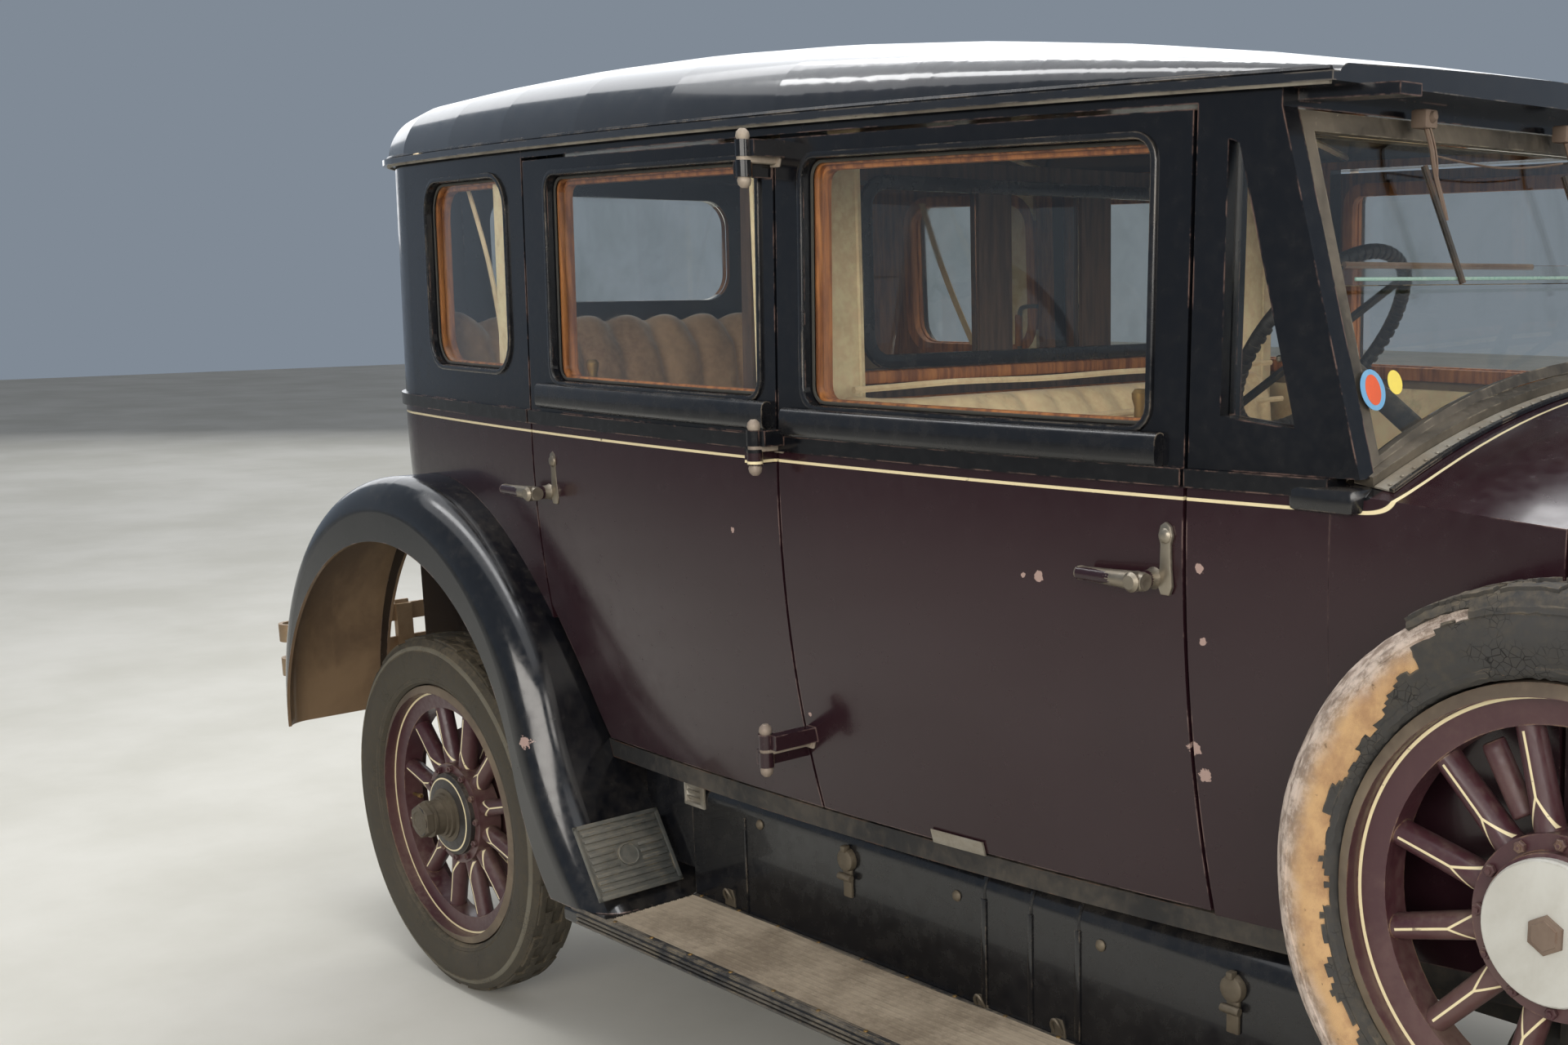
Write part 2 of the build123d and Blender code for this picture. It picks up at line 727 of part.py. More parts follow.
with BuildPart() as cowl_sides:
    add(body_ring)
    cowl_side_rear = front_shut_from_axle + shut_gap / 2
    cowl_side_front = cowl_rear_station - seam
    with Locations((rear_axle_x + (cowl_side_rear + cowl_side_front) / 2, 0, sill_z)):
        Box(
            cowl_side_front - cowl_side_rear,
            through,
            2 * (belt_z + moulding_height / 2 - seam - sill_z),
            mode=Mode.INTERSECT,
        )
with BuildPart() as cowl:
    for x, half, crease, top in cowl_sections:
        add(cowl_section(x, half, crease, top, 0))
    loft(ruled=True)
    for x, half, crease, top in cowl_sections:
        inner_x = min(x, hood_seam_x - firewall)
        add(cowl_section(inner_x, half, crease, top, wall))
    loft(ruled=True, mode=Mode.SUBTRACT)
    with Locations(Location((rear_axle_x + steering_station, steering_y, steering_z), (0, 90 + column_angle, 0))):
        Cylinder(column_radius + 4, 2 * column_length + 400, mode=Mode.SUBTRACT)
    add(cowl_sides)
save(cowl, "cowl")

# Windscreen frame on its sloping plane, its foot following the cowl's arch
screen_rise = screen_head_z - belt_z - moulding_height / 2
screen_lean = screen_foot_station + 12 - screen_head_station
screen_length = (screen_rise**2 + screen_lean**2) ** 0.5
screen_half = 663.4
screen_side = 24
screen_bar = 28
screen_thickness = 24
screen_seat = 11
screen_arch = (cowl_top_z - crease_z) * (screen_half / cowl_rear_half) ** 2 * screen_length / screen_rise
pane_overlap_z = (1612, 1640)
pane_step = 9


def screen_plane(back=0):
    """The windscreen's plane, its height measured up the slope; back moves it rearward."""
    up = (-screen_lean / screen_length, 0, screen_rise / screen_length)
    origin = (
        rear_axle_x + screen_foot_station + 12 - back * up[2],
        0,
        belt_z + moulding_height / 2 + back * up[0],
    )
    return Plane(origin=origin, x_dir=(0, 1, 0), z_dir=(up[2], 0, -up[0]))


def screen_outline(side, foot, head):
    """The frame's outline inset at its sides, foot and head."""
    half = screen_half - side
    with BuildSketch() as sketch:
        with BuildLine():
            ThreePointArc((-half, foot), (0, foot + screen_arch), (half, foot))
            Polyline((half, foot), (half, head), (-half, head), (-half, foot))
        make_face()
    return sketch.sketch


with BuildPart() as windscreen_frame:
    with BuildSketch(screen_plane(4)):
        add(screen_outline(0, screen_seat, screen_length - seam))
        add(screen_outline(screen_side, screen_bar, screen_length - screen_bar), mode=Mode.SUBTRACT)
    extrude(amount=-screen_thickness)
save(windscreen_frame, "windscreen_frame")

# Fixed glass: two windscreen panes that overlap, the quarter windows and the back window
pane = 5
with BuildPart() as glass_ring:
    for extra, mode in ((wall / 2, Mode.ADD), (wall / 2 + pane, Mode.SUBTRACT)):
        for z, inset in upper_sections:
            with BuildSketch(Plane.XY.offset(z)):
                add(plan(inset + extra))
        loft(ruled=True, mode=mode)


def window_pane(window, radius, way):
    """A curved pane that fills a side window; way is the side of the car."""
    with BuildPart() as part:
        add(glass_ring)
        with BuildSketch(side_plane()):
            add(window_cut(window, radius, seam))
        extrude(amount=-way * through / 2, mode=Mode.INTERSECT)
    return part.part


front_quarter_points = (
    (front_shut_from_axle + front_post_width, 1436),
    (screen_foot_station - post_width - 22, 1424),
    (screen_head_station - post_width, 1792),
    (front_shut_from_axle + front_post_width, 1797),
)
with BuildPart() as front_quarter_panes:
    add(glass_ring)
    with BuildSketch(side_plane()):
        with BuildLine():
            Polyline(*front_quarter_points, close=True)
        make_face()
    extrude(amount=through / 2, both=True, mode=Mode.INTERSECT)
with BuildPart() as back_pane:
    add(glass_ring)
    with BuildSketch(Plane.YZ.offset(back_x)):
        with Locations((0, (back_window_bottom_z + back_window_top_z) / 2)):
            RectangleRounded(
                2 * (back_window_half - seam),
                back_window_top_z - back_window_bottom_z - 2 * seam,
                back_window_radius,
            )
    extrude(amount=4 * wall, both=True, mode=Mode.INTERSECT)


def up_screen(z):
    """Distance up the windscreen's slope at a height."""
    return (z - belt_z - moulding_height / 2) * screen_length / screen_rise


with BuildPart() as body_glass:
    add(window_pane(quarter_window, quarter_window_radius, 1))
    add(window_pane(quarter_window, quarter_window_radius, -1))
    add(front_quarter_panes)
    add(back_pane)
    with BuildSketch(screen_plane(screen_thickness / 2 + pane_step)):
        add(screen_outline(screen_side + seam, screen_bar + seam, up_screen(pane_overlap_z[1])))
    extrude(amount=-pane)
    with BuildSketch(screen_plane(screen_thickness / 2)):
        with Locations((0, (up_screen(pane_overlap_z[0]) + screen_length - screen_bar - seam) / 2)):
            Rectangle(
                2 * (screen_half - screen_side - seam),
                screen_length - screen_bar - seam - up_screen(pane_overlap_z[0]),
            )
    extrude(amount=-pane)
save(body_glass, "body_glass")

door_panes = (
    ("rear_door_glass_left", rear_door_window, 1),
    ("rear_door_glass_right", rear_door_window, -1),
    ("front_door_glass_left", front_door_window, 1),
    ("front_door_glass_right", front_door_window, -1),
)
for name, window, way in door_panes:
    with BuildPart() as door_pane:
        add(window_pane(window, window_radius, way))
    save(door_pane, name)

# Hood: two tops on a fixed centre rod, and the sides below them
hood_sheet = 6
hood_gap = 5
hood_rod_radius = 6
hood_sections = (
    (hood_seam_x + hood_gap, hood_seam_half, crease_seam_z, hood_top_z),
    (radiator_back_x - hood_gap, hood_front_half, hood_front_crease_z, hood_front_top_z),
)
hood_foot_z = 704
with BuildPart() as hood_top_left:
    for sheet, mode in ((0, Mode.ADD), (hood_sheet, Mode.SUBTRACT)):
        for x, half, crease, top in hood_sections:
            with BuildSketch(cross_plane(x)):
                with BuildLine():
                    arch = ThreePointArc(
                        (half - sheet, crease), (0, top - sheet), (-half + sheet, crease)
                    )
                    Line(arch @ 1, arch @ 0)
                make_face()
        loft(ruled=True, mode=mode)
    with Locations((0, -widest_half + 3 * hood_rod_radius, hood_top_z)):
        Box(2 * front_reach + wheelbase, 2 * widest_half, hood_top_z, mode=Mode.SUBTRACT)
save(hood_top_left, "hood_top_left")
with BuildPart() as hood_top_right:
    add(mirror(hood_top_left.part, about=Plane.XZ, mode=Mode.PRIVATE))
save(hood_top_right, "hood_top_right")

with BuildPart() as hood_side_left:
    for x, half, crease, top in hood_sections:
        waist = half - waist_inset * half / hood_seam_half
        foot = half - sill_inset * half / hood_seam_half
        with BuildSketch(cross_plane(x)):
            with BuildLine():
                Polyline(
                    (half, crease - hood_gap),
                    (waist, waist_z),
                    (foot, hood_foot_z),
                    (foot - hood_sheet, hood_foot_z),
                    (waist - hood_sheet, waist_z),
                    (half - hood_sheet, crease - hood_gap),
                    close=True,
                )
            make_face()
    loft(ruled=True)
with BuildPart() as hood_sides:
    add(hood_side_left)
    add(mirror(hood_side_left.part, about=Plane.XZ, mode=Mode.PRIVATE))
    with BuildLine():
        rod_line = Line(
            (hood_seam_x + 1, 0, hood_top_z - hood_rod_radius),
            (radiator_back_x - 1, 0, hood_front_top_z - hood_rod_radius),
        )
    with BuildSketch(Plane(origin=rod_line @ 0, z_dir=rod_line % 0)):
        Circle(hood_rod_radius)
    sweep()
save(hood_sides, "hood_sides")

# Chassis frame: two rails with dropped front ends, cross members and running board brackets
rail_rear_station = -780
rail_front_reach = 480
cross_members = ((-2491, 600, 80), (-841, 600, 80), (350, 600, 80), (1881, 585, 60), (2330, 570, 50))
cross_width = 60
bracket_stations = (860, 1450, 2050, 2580)
bracket_width = 44
handle_bore = 12
plate_hole_y = 90
plate_hole_radius = 5
carrier_y = 645
carrier_sheet = 12
carrier_half = 50
carrier_stub = 74.7
with BuildPart() as chassis_frame:
    for way in (-1, 1):
        with BuildSketch(side_plane(way * rail_y - rail_width / 2)):
            with BuildLine():
                drop = wheelbase + 60
                tip = wheelbase + rail_front_reach
                Polyline((drop, rail_top_z), (rail_rear_station, rail_top_z))
                Polyline((rail_rear_station, rail_top_z), (rail_rear_station, rail_bottom_z))
                Polyline((rail_rear_station, rail_bottom_z), (drop, rail_bottom_z))
                ThreePointArc((drop, rail_bottom_z), (drop + 220, rail_bottom_z - 4), (tip, 532))
                Line((tip, 532), (tip, 566))
                ThreePointArc((tip, 566), (drop + 200, 622), (drop, rail_top_z))
            make_face()
        extrude(amount=-rail_width)
    for x, z, height in cross_members:
        with Locations((x, 0, z)):
            Box(cross_width, 2 * rail_y, height)
    with Locations(Location((2330, 0, 570), (0, 90, 0))):
        Cylinder(handle_bore, 2 * cross_width, mode=Mode.SUBTRACT)
    for y in (-plate_hole_y, plate_hole_y):
        with Locations(Location((cross_members[0][0], y, cross_members[0][1]), (0, 90, 0))):
            Cylinder(plate_hole_radius, 2 * cross_width, mode=Mode.SUBTRACT)
    for station in bracket_stations:
        for way in (-1, 1):
            with BuildSketch(cross_plane(rear_axle_x + station - bracket_width / 2)):
                with BuildLine():
                    Polyline(
                        (way * (rail_y + 20), rail_bottom_z + 70),
                        (way * (rail_y + 20), rail_bottom_z),
                        (way * (board_inner_y + 10), board_top_z - board_thickness - 26),
                        (way * (fender_outer_y - 40), board_top_z - board_thickness - 18),
                        (way * (fender_outer_y - 40), board_top_z - board_thickness),
                        (way * (board_inner_y - 8), board_top_z - board_thickness),
                        (way * (rail_y + 100), rail_bottom_z + 10),
                        close=True,
                    )
                make_face()
            extrude(amount=bracket_width)
    for way in (-1, 1):
        with Locations((spare_x, way * (rail_y + carrier_y + carrier_sheet) / 2, rail_top_z - 22)):
            Box(2 * carrier_half, carrier_y + carrier_sheet - rail_y, 40)
        with Locations((spare_x, way * (carrier_y + carrier_sheet / 2), (rail_top_z - 42 + spare_z) / 2)):
            Box(2 * carrier_half, carrier_sheet, spare_z - rail_top_z + 42)
        with Locations(Location((spare_x, way * (carrier_y + carrier_stub / 2), spare_z), (90, 0, 0))):
            Cylinder(carrier_half, carrier_stub)
save(chassis_frame, "chassis_frame")

# Engine with its gearbox, one plain block between the rails
with BuildPart() as engine_block:
    with Locations((1400, 0, 745)):
        Box(760, 330, 610)
    with Locations((1400, 0, 1090)):
        Box(700, 200, 100)
    with Locations((1400, 0, 480)):
        Box(700, 250, 80, mode=Mode.ADD)
    fillet(engine_block.edges().filter_by(Axis.X).group_by(Axis.Z)[0], 30)
    with Locations(Location((830, 0, 545), (0, 90, 0))):
        Cylinder(105, 420)
save(engine_block, "engine_block")

# Radiator: a shell round a recessed core of upright fins
radiator_foot_z = 622
radiator_wall = 30
fin_pitch = 14
with BuildPart() as radiator:
    for inset, depth in ((0, radiator_depth), (radiator_wall, 0)):
        with BuildSketch(cross_plane(radiator_back_x)):
            with BuildLine():
                half = radiator_half - inset
                edge = hood_front_crease_z - inset / 2
                arch = ThreePointArc((half, edge), (0, hood_front_top_z + 12 - inset), (-half, edge))
                Polyline(
                    arch @ 1, (-half + 20, radiator_foot_z + inset), (half - 20, radiator_foot_z + inset), arch @ 0
                )
            make_face()
        if depth:
            extrude(amount=depth)
            fillet(radiator.faces().sort_by(Axis.X)[-1].edges(), 16)
        else:
            extrude(amount=radiator_depth + 1, mode=Mode.SUBTRACT)
    with Locations((radiator_back_x + radiator_depth / 2 - 10, 0, (radiator_foot_z + 1330) / 2)):
        Box(60, 2 * (radiator_half - radiator_wall) - 8, 1330 - radiator_foot_z - 20)
    with Locations((radiator_back_x + radiator_depth / 2, 0, hood_front_top_z + 26)):
        Cylinder(34, 36)
        with Locations((0, 0, 26)):
            Cylinder(42, 18)
save(radiator, "radiator")

tank_half = 330
tank_station = -585
tank_z = 575
with BuildPart() as fuel_tank:
    with BuildSketch(Plane.XZ.offset(-tank_half)):
        with Locations((rear_axle_x + tank_station, tank_z)):
            Ellipse(129, 98)
    extrude(amount=2 * tank_half)
    with Locations((rear_axle_x + tank_station, 0, tank_z + 10)):
        Box(40, 2 * rail_y - rail_width - 2 * seam, 30)
save(fuel_tank, "fuel_tank")

# Leaf springs under the rails: half length, eye height, centre height
spring_half = 28
eye_radius = 16
springs = ((rear_axle_x, 700, 520, 500), (front_axle_x, 455, 505, 480))
with BuildPart() as leaf_springs:
    for x, reach, eye_z, top_z in springs:
        for way in (-1, 1):
            with BuildSketch(Plane(origin=(x, way * rail_y - spring_half, 0), x_dir=(1, 0, 0), z_dir=(0, -1, 0))):
                for share, sheet in ((1, 9), (0.75, 18), (0.5, 27), (0.25, 37)):
                    with BuildLine():
                        end = top_z + (eye_z - top_z) * share**2
                        over = ThreePointArc((-share * reach, end), (0, top_z), (share * reach, end))
                        under = ThreePointArc(
                            (-share * reach, end - sheet), (0, top_z - sheet), (share * reach, end - sheet)
                        )
                        Line(over @ 0, under @ 0)
                        Line(over @ 1, under @ 1)
                    make_face()
                with Locations((-reach, eye_z), (reach, eye_z)):
                    Circle(eye_radius)
            extrude(amount=-2 * spring_half)
save(leaf_springs, "leaf_springs")

# Rear axle: tube, banjo, torque tube, back plates and spindles
axle_tube_radius = 38
spindle_radius = 30
spindle_fit = 0.05
back_plate_y = 606
drum_radius = 190
with BuildPart() as rear_axle:
    with Locations(Location((rear_axle_x, 0, axle_z), (90, 0, 0))):
        Cylinder(axle_tube_radius, 2 * back_plate_y)
        Cylinder(spindle_radius, 2 * (wheel_plane_y + 60))
    with Locations(Location((rear_axle_x, back_plate_y - 4, axle_z), (90, 0, 0))):
        Cylinder(drum_radius - 12, 6)
    with Locations(Location((rear_axle_x, 4 - back_plate_y, axle_z), (90, 0, 0))):
        Cylinder(drum_radius - 12, 6)
    with Locations((rear_axle_x, 0, axle_z)):
        Sphere(140)
    with Locations((rear_axle_x, rail_y, axle_z + 39 - seam), (rear_axle_x, -rail_y, axle_z + 39 - seam)):
        Box(90, 2 * spring_half, 18)
    with BuildSketch(cross_plane(rear_axle_x)):
        with Locations((0, axle_z)):
            Circle(62)
    with BuildSketch(cross_plane(rear_axle_x + 2350)):
        with Locations((0, 520)):
            Circle(44)
    loft()
save(rear_axle, "rear_axle")

# Front axle beam, its ends bored for the king pins
kingpin_radius = 12
axle_boss_radius = 26
with BuildPart() as front_axle:
    with BuildSketch(cross_plane(front_axle_x - 22)):
        with BuildLine():
            Polyline(
                (0, 335), (210, 335), (300, 395), (kingpin_y, 395), (kingpin_y, 435),
                (rail_y + 45, 435), (rail_y + 45, 443 - seam), (rail_y - 45, 443 - seam), (rail_y - 45, 435),
                (290, 435), (200, 385), (0, 385),
            )
            mirror(about=Plane.YZ)
        make_face()
    extrude(amount=44)
    with Locations((front_axle_x, kingpin_y, axle_z), (front_axle_x, -kingpin_y, axle_z)):
        Cylinder(axle_boss_radius, 80)
        Cylinder(kingpin_radius + spindle_fit, 100, mode=Mode.SUBTRACT)
save(front_axle, "front_axle")

# Knuckles: yoke, king pin, spindle and steering arm with the tie rod's pin
knuckle_half = 24
lug = 18
lug_z = 52
front_spindle_radius = 22
arm_back = 180
tie_pin_radius = 8
tie_rod_z = 368
arm_sheet = 14
with BuildPart() as knuckle_left:
    with Locations((front_axle_x, kingpin_y, axle_z)):
        Cylinder(kingpin_radius, 2 * lug_z + lug)
    for z in (axle_z - lug_z, axle_z + lug_z):
        with Locations((front_axle_x, kingpin_y + 10, z)):
            Box(2 * knuckle_half, 60, lug)
    with Locations((front_axle_x, kingpin_y + 41, axle_z)):
        Box(2 * knuckle_half, 18, 2 * lug_z + lug)
    with Locations(Location((front_axle_x, (kingpin_y + 41 + wheel_plane_y + 52) / 2, axle_z), (90, 0, 0))):
        Cylinder(front_spindle_radius, wheel_plane_y + 52 - kingpin_y - 41)
    with BuildSketch(Plane.XY.offset(axle_z - lug_z - lug / 2)):
        with BuildLine():
            Polyline(
                (front_axle_x, kingpin_y + 20),
                (front_axle_x - arm_back, kingpin_y + 15),
                (front_axle_x - arm_back, kingpin_y - 15),
                (front_axle_x, kingpin_y - 20),
                close=True,
            )
        make_face()
        with Locations((front_axle_x - arm_back, kingpin_y)):
            Circle(18)
    extrude(amount=-arm_sheet)
    with Locations((front_axle_x - arm_back, kingpin_y, axle_z - lug_z - lug / 2 + 14)):
        Cylinder(tie_pin_radius, 30)
    with Locations((front_axle_x, kingpin_y, axle_z - lug_z - lug / 2 - arm_sheet / 2)):
        Cylinder(knuckle_half, arm_sheet)
save(knuckle_left, "knuckle_left")
with BuildPart() as knuckle_right:
    add(mirror(knuckle_left.part, about=Plane.XZ, mode=Mode.PRIVATE))
save(knuckle_right, "knuckle_right")

tie_eye_radius = 18
tie_eye_height = 22
with BuildPart() as tie_rod:
    with Locations(Location((front_axle_x - arm_back, 0, tie_rod_z), (90, 0, 0))):
        Cylinder(10, 2 * kingpin_y - 24)
    for y in (-kingpin_y, kingpin_y):
        with Locations((front_axle_x - arm_back, y, tie_rod_z)):
            Cylinder(tie_eye_radius, tie_eye_height)
            Cylinder(tie_pin_radius + spindle_fit, 2 * tie_eye_height, mode=Mode.SUBTRACT)
save(tie_rod, "tie_rod")

# Wheels: wooden spokes between hub flanges and felloe, inside a steel rim
felloe_inner = 245
felloe_half = 28
rim_inner = 283
rim_half = 52
rim_flange = 308
spoke_root = 60
hub_flange_radius = 95
spoke_half = 16
rear_hub_end = 112
front_hub_end = 84
wedge_radius = 116
wedge_half = 26


def wheel(hub_points, has_drum, centre):
    """A spoked wheel drawn about the Y axis, moved to its place; hub points are radius and reach."""
    with BuildPart() as rings:
        with BuildSketch(Plane.XY):
            with BuildLine():
                Polyline(
                    (rim_inner, -rim_half), (rim_radius, -rim_half + 6), (rim_radius, rim_half - 6),
                    (rim_inner, rim_half), (rim_inner, felloe_half), (felloe_inner, felloe_half - 6),
                    (felloe_inner, 6 - felloe_half), (rim_inner, -felloe_half), close=True,
                )
            make_face()
            with BuildLine():
                Polyline(*hub_points, close=True)
            make_face()
            with Locations(((wedge_radius + spoke_root) / 2, 0)):
                Rectangle(wedge_radius - spoke_root, 2 * wedge_half)
            if has_drum:
                with BuildLine():
                    Polyline(
                        (40, -46), (drum_radius - 8, -46), (drum_radius - 8, -102),
                        (drum_radius, -102), (drum_radius, -38), (40, -38), close=True,
                    )
                make_face()
        revolve(axis=Axis.Y)
    with BuildPart() as spokes:
        for high, across, out in ((spoke_root, 20, 24), (130, 19, 21), (felloe_inner + 6, 17, 20)):
            with BuildSketch(Plane.YZ.offset(high)):
                Ellipse(out, across)
        loft()
    with BuildPart() as whole:
        add(rings)
        for number in range(spoke_count):
            turn = Rot(0, (number + 0.5) * 360 / spoke_count, 0)
            add(turn * spokes.part)
    return Pos(*centre) * whole.part


rear_hub = (
    (spindle_radius + spindle_fit, -46), (75, -46), (hub_flange_radius, -30), (hub_flange_radius, 36),
    (86, 42), (50, 48), (44, 56), (39, 62), (38, 88), (35, 90), (34, rear_hub_end),
    (0, rear_hub_end), (0, 72), (spindle_radius + spindle_fit, 72),
)
front_hub = (
    (front_spindle_radius + spindle_fit, -42), (55, -42), (hub_flange_radius, -30),
    (hub_flange_radius, 36), (86, 42), (48, 46), (42, 62), (34, front_hub_end),
    (0, front_hub_end), (0, 60), (front_spindle_radius + spindle_fit, 60),
)
spare_hub = (
    (0, 20 - carrier_half), (60, 20 - carrier_half), (hub_flange_radius, -24),
    (hub_flange_radius, 36), (82, 42), (74, 50), (0, 50),
)
left_wheels = (
    ("rear", rear_hub, True, (rear_axle_x, wheel_plane_y, axle_z)),
    ("front", front_hub, False, (front_axle_x, wheel_plane_y, axle_z)),
)
for name, hub_points, has_drum, centre in left_wheels:
    with BuildPart() as wheel_left:
        add(wheel(hub_points, has_drum, centre))
    save(wheel_left, f"wheel_{name}_left")
    with BuildPart() as wheel_right:
        add(mirror(wheel_left.part, about=Plane.XZ, mode=Mode.PRIVATE))
    save(wheel_right, f"wheel_{name}_right")
with BuildPart() as spare_wheels:
    spare_left = wheel(spare_hub, False, (spare_x, spare_y, spare_z))
    add(spare_left)
    add(mirror(spare_left, about=Plane.XZ, mode=Mode.PRIVATE))
save(spare_wheels, "spare_wheels")

# Tyres
bead_half = 44
tread_half = 46
with BuildPart() as tyre:
    with BuildSketch(Plane.XY):
        with BuildLine():
            base = Line((rim_radius + seam, -bead_half), (rim_radius + seam, bead_half))
            Line(base @ 1, (rim_flange, rim_half))
            out = ThreePointArc((rim_flange, rim_half), (350, tyre_width / 2), (398, tread_half + 12))
            Line(out @ 1, (tyre_radius - 4, tread_half))
            top = ThreePointArc(
                (tyre_radius - 4, tread_half), (tyre_radius, 0), (tyre_radius - 4, -tread_half)
            )
            Line(top @ 1, (398, -tread_half - 12))
            back = ThreePointArc((398, -tread_half - 12), (350, -tyre_width / 2), (rim_flange, -rim_half))
            Line(back @ 1, base @ 0)
        make_face()
    revolve(axis=Axis.Y)
tyre_places = (
    ("tyre_rear_left", (rear_axle_x, wheel_plane_y, axle_z)),
    ("tyre_rear_right", (rear_axle_x, -wheel_plane_y, axle_z)),
    ("tyre_front_left", (front_axle_x, wheel_plane_y, axle_z)),
    ("tyre_front_right", (front_axle_x, -wheel_plane_y, axle_z)),
    ("spare_tyre_left", (spare_x, spare_y, spare_z)),
    ("spare_tyre_right", (spare_x, -spare_y, spare_z)),
)
for name, centre in tyre_places:
    with BuildPart() as placed_tyre:
        add(Pos(*centre) * tyre.part)
    save(placed_tyre, name)

# Running boards with rounded outer edges, and the aprons behind them
board_edge = 10
apron_sheet = 8
apron_lift = 4
apron_top_z = 652
apron_roll = 46
apron_rear_station = 830
apron_front_station = board_front_from_axle - 155
apron_reach_in = 545
with BuildPart() as running_board_left:
    with BuildSketch(cross_plane(rear_axle_x + board_rear_from_axle)):
        with Locations(((board_inner_y + fender_outer_y) / 2, board_top_z - board_thickness / 2)):
            Rectangle(fender_outer_y - board_inner_y, board_thickness - 2 * seam)
        fillet(vertices().group_by(Axis.X)[-1], board_edge)
    extrude(amount=board_front_from_axle - board_rear_from_axle)
with BuildPart() as running_boards:
    add(running_board_left)
    add(mirror(running_board_left.part, about=Plane.XZ, mode=Mode.PRIVATE))
save(running_boards, "running_boards")

with BuildPart() as apron_left:
    with BuildSketch(cross_plane(rear_axle_x + apron_rear_station)):
        with BuildLine():
            face_y = board_inner_y - seam
            low = board_top_z - board_thickness + apron_lift
            for sheet in (0, apron_sheet):
                rise = Line((face_y - sheet, low), (face_y - sheet, apron_top_z - apron_roll))
                roll = TangentArc(
                    rise @ 1, (face_y - apron_roll, apron_top_z - sheet), tangent=(0, 1)
                )
                Line(roll @ 1, (apron_reach_in, apron_top_z - sheet))
            Line((face_y, low), (face_y - apron_sheet, low))
            Line((apron_reach_in, apron_top_z), (apron_reach_in, apron_top_z - apron_sheet))
        make_face()
    extrude(amount=apron_front_station - apron_rear_station)
with BuildPart() as splash_aprons:
    add(apron_left)
    add(mirror(apron_left.part, about=Plane.XZ, mode=Mode.PRIVATE))
save(splash_aprons, "splash_aprons")

# Lamps on a bar between the front fenders, and a rear lamp
lamp_radius = 120
lamp_depth = 150
lamp_x = front_axle_x + 70
lamp_y = 345
lamp_z = 1115
lamp_bar_z = 965
rear_lamp = (rear_axle_x + rear_tail[0] - 30.4, 640, 560)
with BuildPart() as lamp_bowl:
    with BuildSketch(Plane.XZ):
        with BuildLine():
            rim = Line((lamp_depth, 0), (lamp_depth, lamp_radius))
            Polyline(rim @ 1, (lamp_depth - 24, lamp_radius), (lamp_depth - 30, lamp_radius - 8))
            bowl = ThreePointArc((lamp_depth - 30, lamp_radius - 8), (50, 84), (0, 0))
            Line(bowl @ 1, rim @ 0)
        make_face()
    revolve(axis=Axis.X)
    with Locations(Location((lamp_depth, 0, 0), (0, 90, 0))):
        Cylinder(lamp_radius - 10, 16, mode=Mode.SUBTRACT)
with BuildPart() as lamps:
    for way in (-1, 1):
        add(Pos(lamp_x, way * lamp_y, lamp_z) * lamp_bowl.part)
        with Locations((lamp_x + 80, way * lamp_y, (lamp_bar_z + lamp_z - 80) / 2)):
            Cylinder(14, lamp_z - 80 - lamp_bar_z)
    with Locations(Location((lamp_x + 80, 0, lamp_bar_z), (90, 0, 0))):
        Cylinder(13, 2 * (front_inner_y - seam))
    with Locations(Location(rear_lamp, (0, 90, 0))):
        Cylinder(42, 60)
save(lamps, "lamps")
with BuildPart() as lamp_lenses:
    for way in (-1, 1):
        with Locations(Location((lamp_x + lamp_depth - 4, way * lamp_y, lamp_z), (0, 90, 0))):
            Cylinder(lamp_radius - 10 - seam, 7)
    with Locations(Location((rear_lamp[0] - 34, rear_lamp[1], rear_lamp[2]), (0, 90, 0))):
        Cylinder(36, 7)
save(lamp_lenses, "lamp_lenses")

# Bumpers: two bowed bars at each end with curled tips: face, way it looks, half width, bow, heights
bumper_bar = 10
bumper_height = 46
curl_radius = 34
bumper_rows = (
    (rear_face_x, 1, 700, 52, (716, 626), rear_axle_x + rail_rear_station),
    (front_face_x, -1, 730, 52, (600, 510), front_axle_x + rail_front_reach),
)
with BuildPart() as bumpers:
    for face, way, half, bow, heights, rail_end in bumper_rows:
        for z in heights:
            with BuildSketch(Plane.XY.offset(z - bumper_height / 2)):
                with BuildLine():
                    tip = face + way * bow
                    front = ThreePointArc((tip, -half), (face, 0), (tip, half))
                    back = ThreePointArc(
                        (tip + way * bumper_bar, -half),
                        (face + way * bumper_bar, 0),
                        (tip + way * bumper_bar, half),
                    )
                    Line(front @ 0, back @ 0)
                    Line(front @ 1, back @ 1)
                make_face()
                for side in (-1, 1):
                    with Locations((tip + way * curl_radius, side * half)):
                        Circle(curl_radius)
                for side in (-1, 1):
                    with Locations((tip + way * curl_radius, side * half)):
                        Circle(curl_radius - bumper_bar, mode=Mode.SUBTRACT)
                    with Locations((tip + way * curl_radius, side * (half - curl_radius))):
                        Rectangle(2 * curl_radius - 2 * bumper_bar, 2 * curl_radius, mode=Mode.SUBTRACT)
                    with Locations((tip + way * (2 * curl_radius - 5), side * (half - curl_radius))):
                        Rectangle(2 * bumper_bar, 2 * curl_radius, mode=Mode.SUBTRACT)
            extrude(amount=bumper_height)
        low, high = min(heights), max(heights)
        for side in (-1, 1):
            back_x_here = face + way * (bumper_bar + 6)
            with Locations((back_x_here + way * 8, side * rail_y, (low + high) / 2)):
                Box(20, 44, high - low + bumper_height)
            reach = abs(rail_end - back_x_here) - 12
            arm_z = 600 if way > 0 else 549
            with Locations((rail_end - way * (reach / 2 + seam), side * rail_y, arm_z)):
                Box(reach, 16, 46 if way > 0 else 30)
save(bumpers, "bumpers")

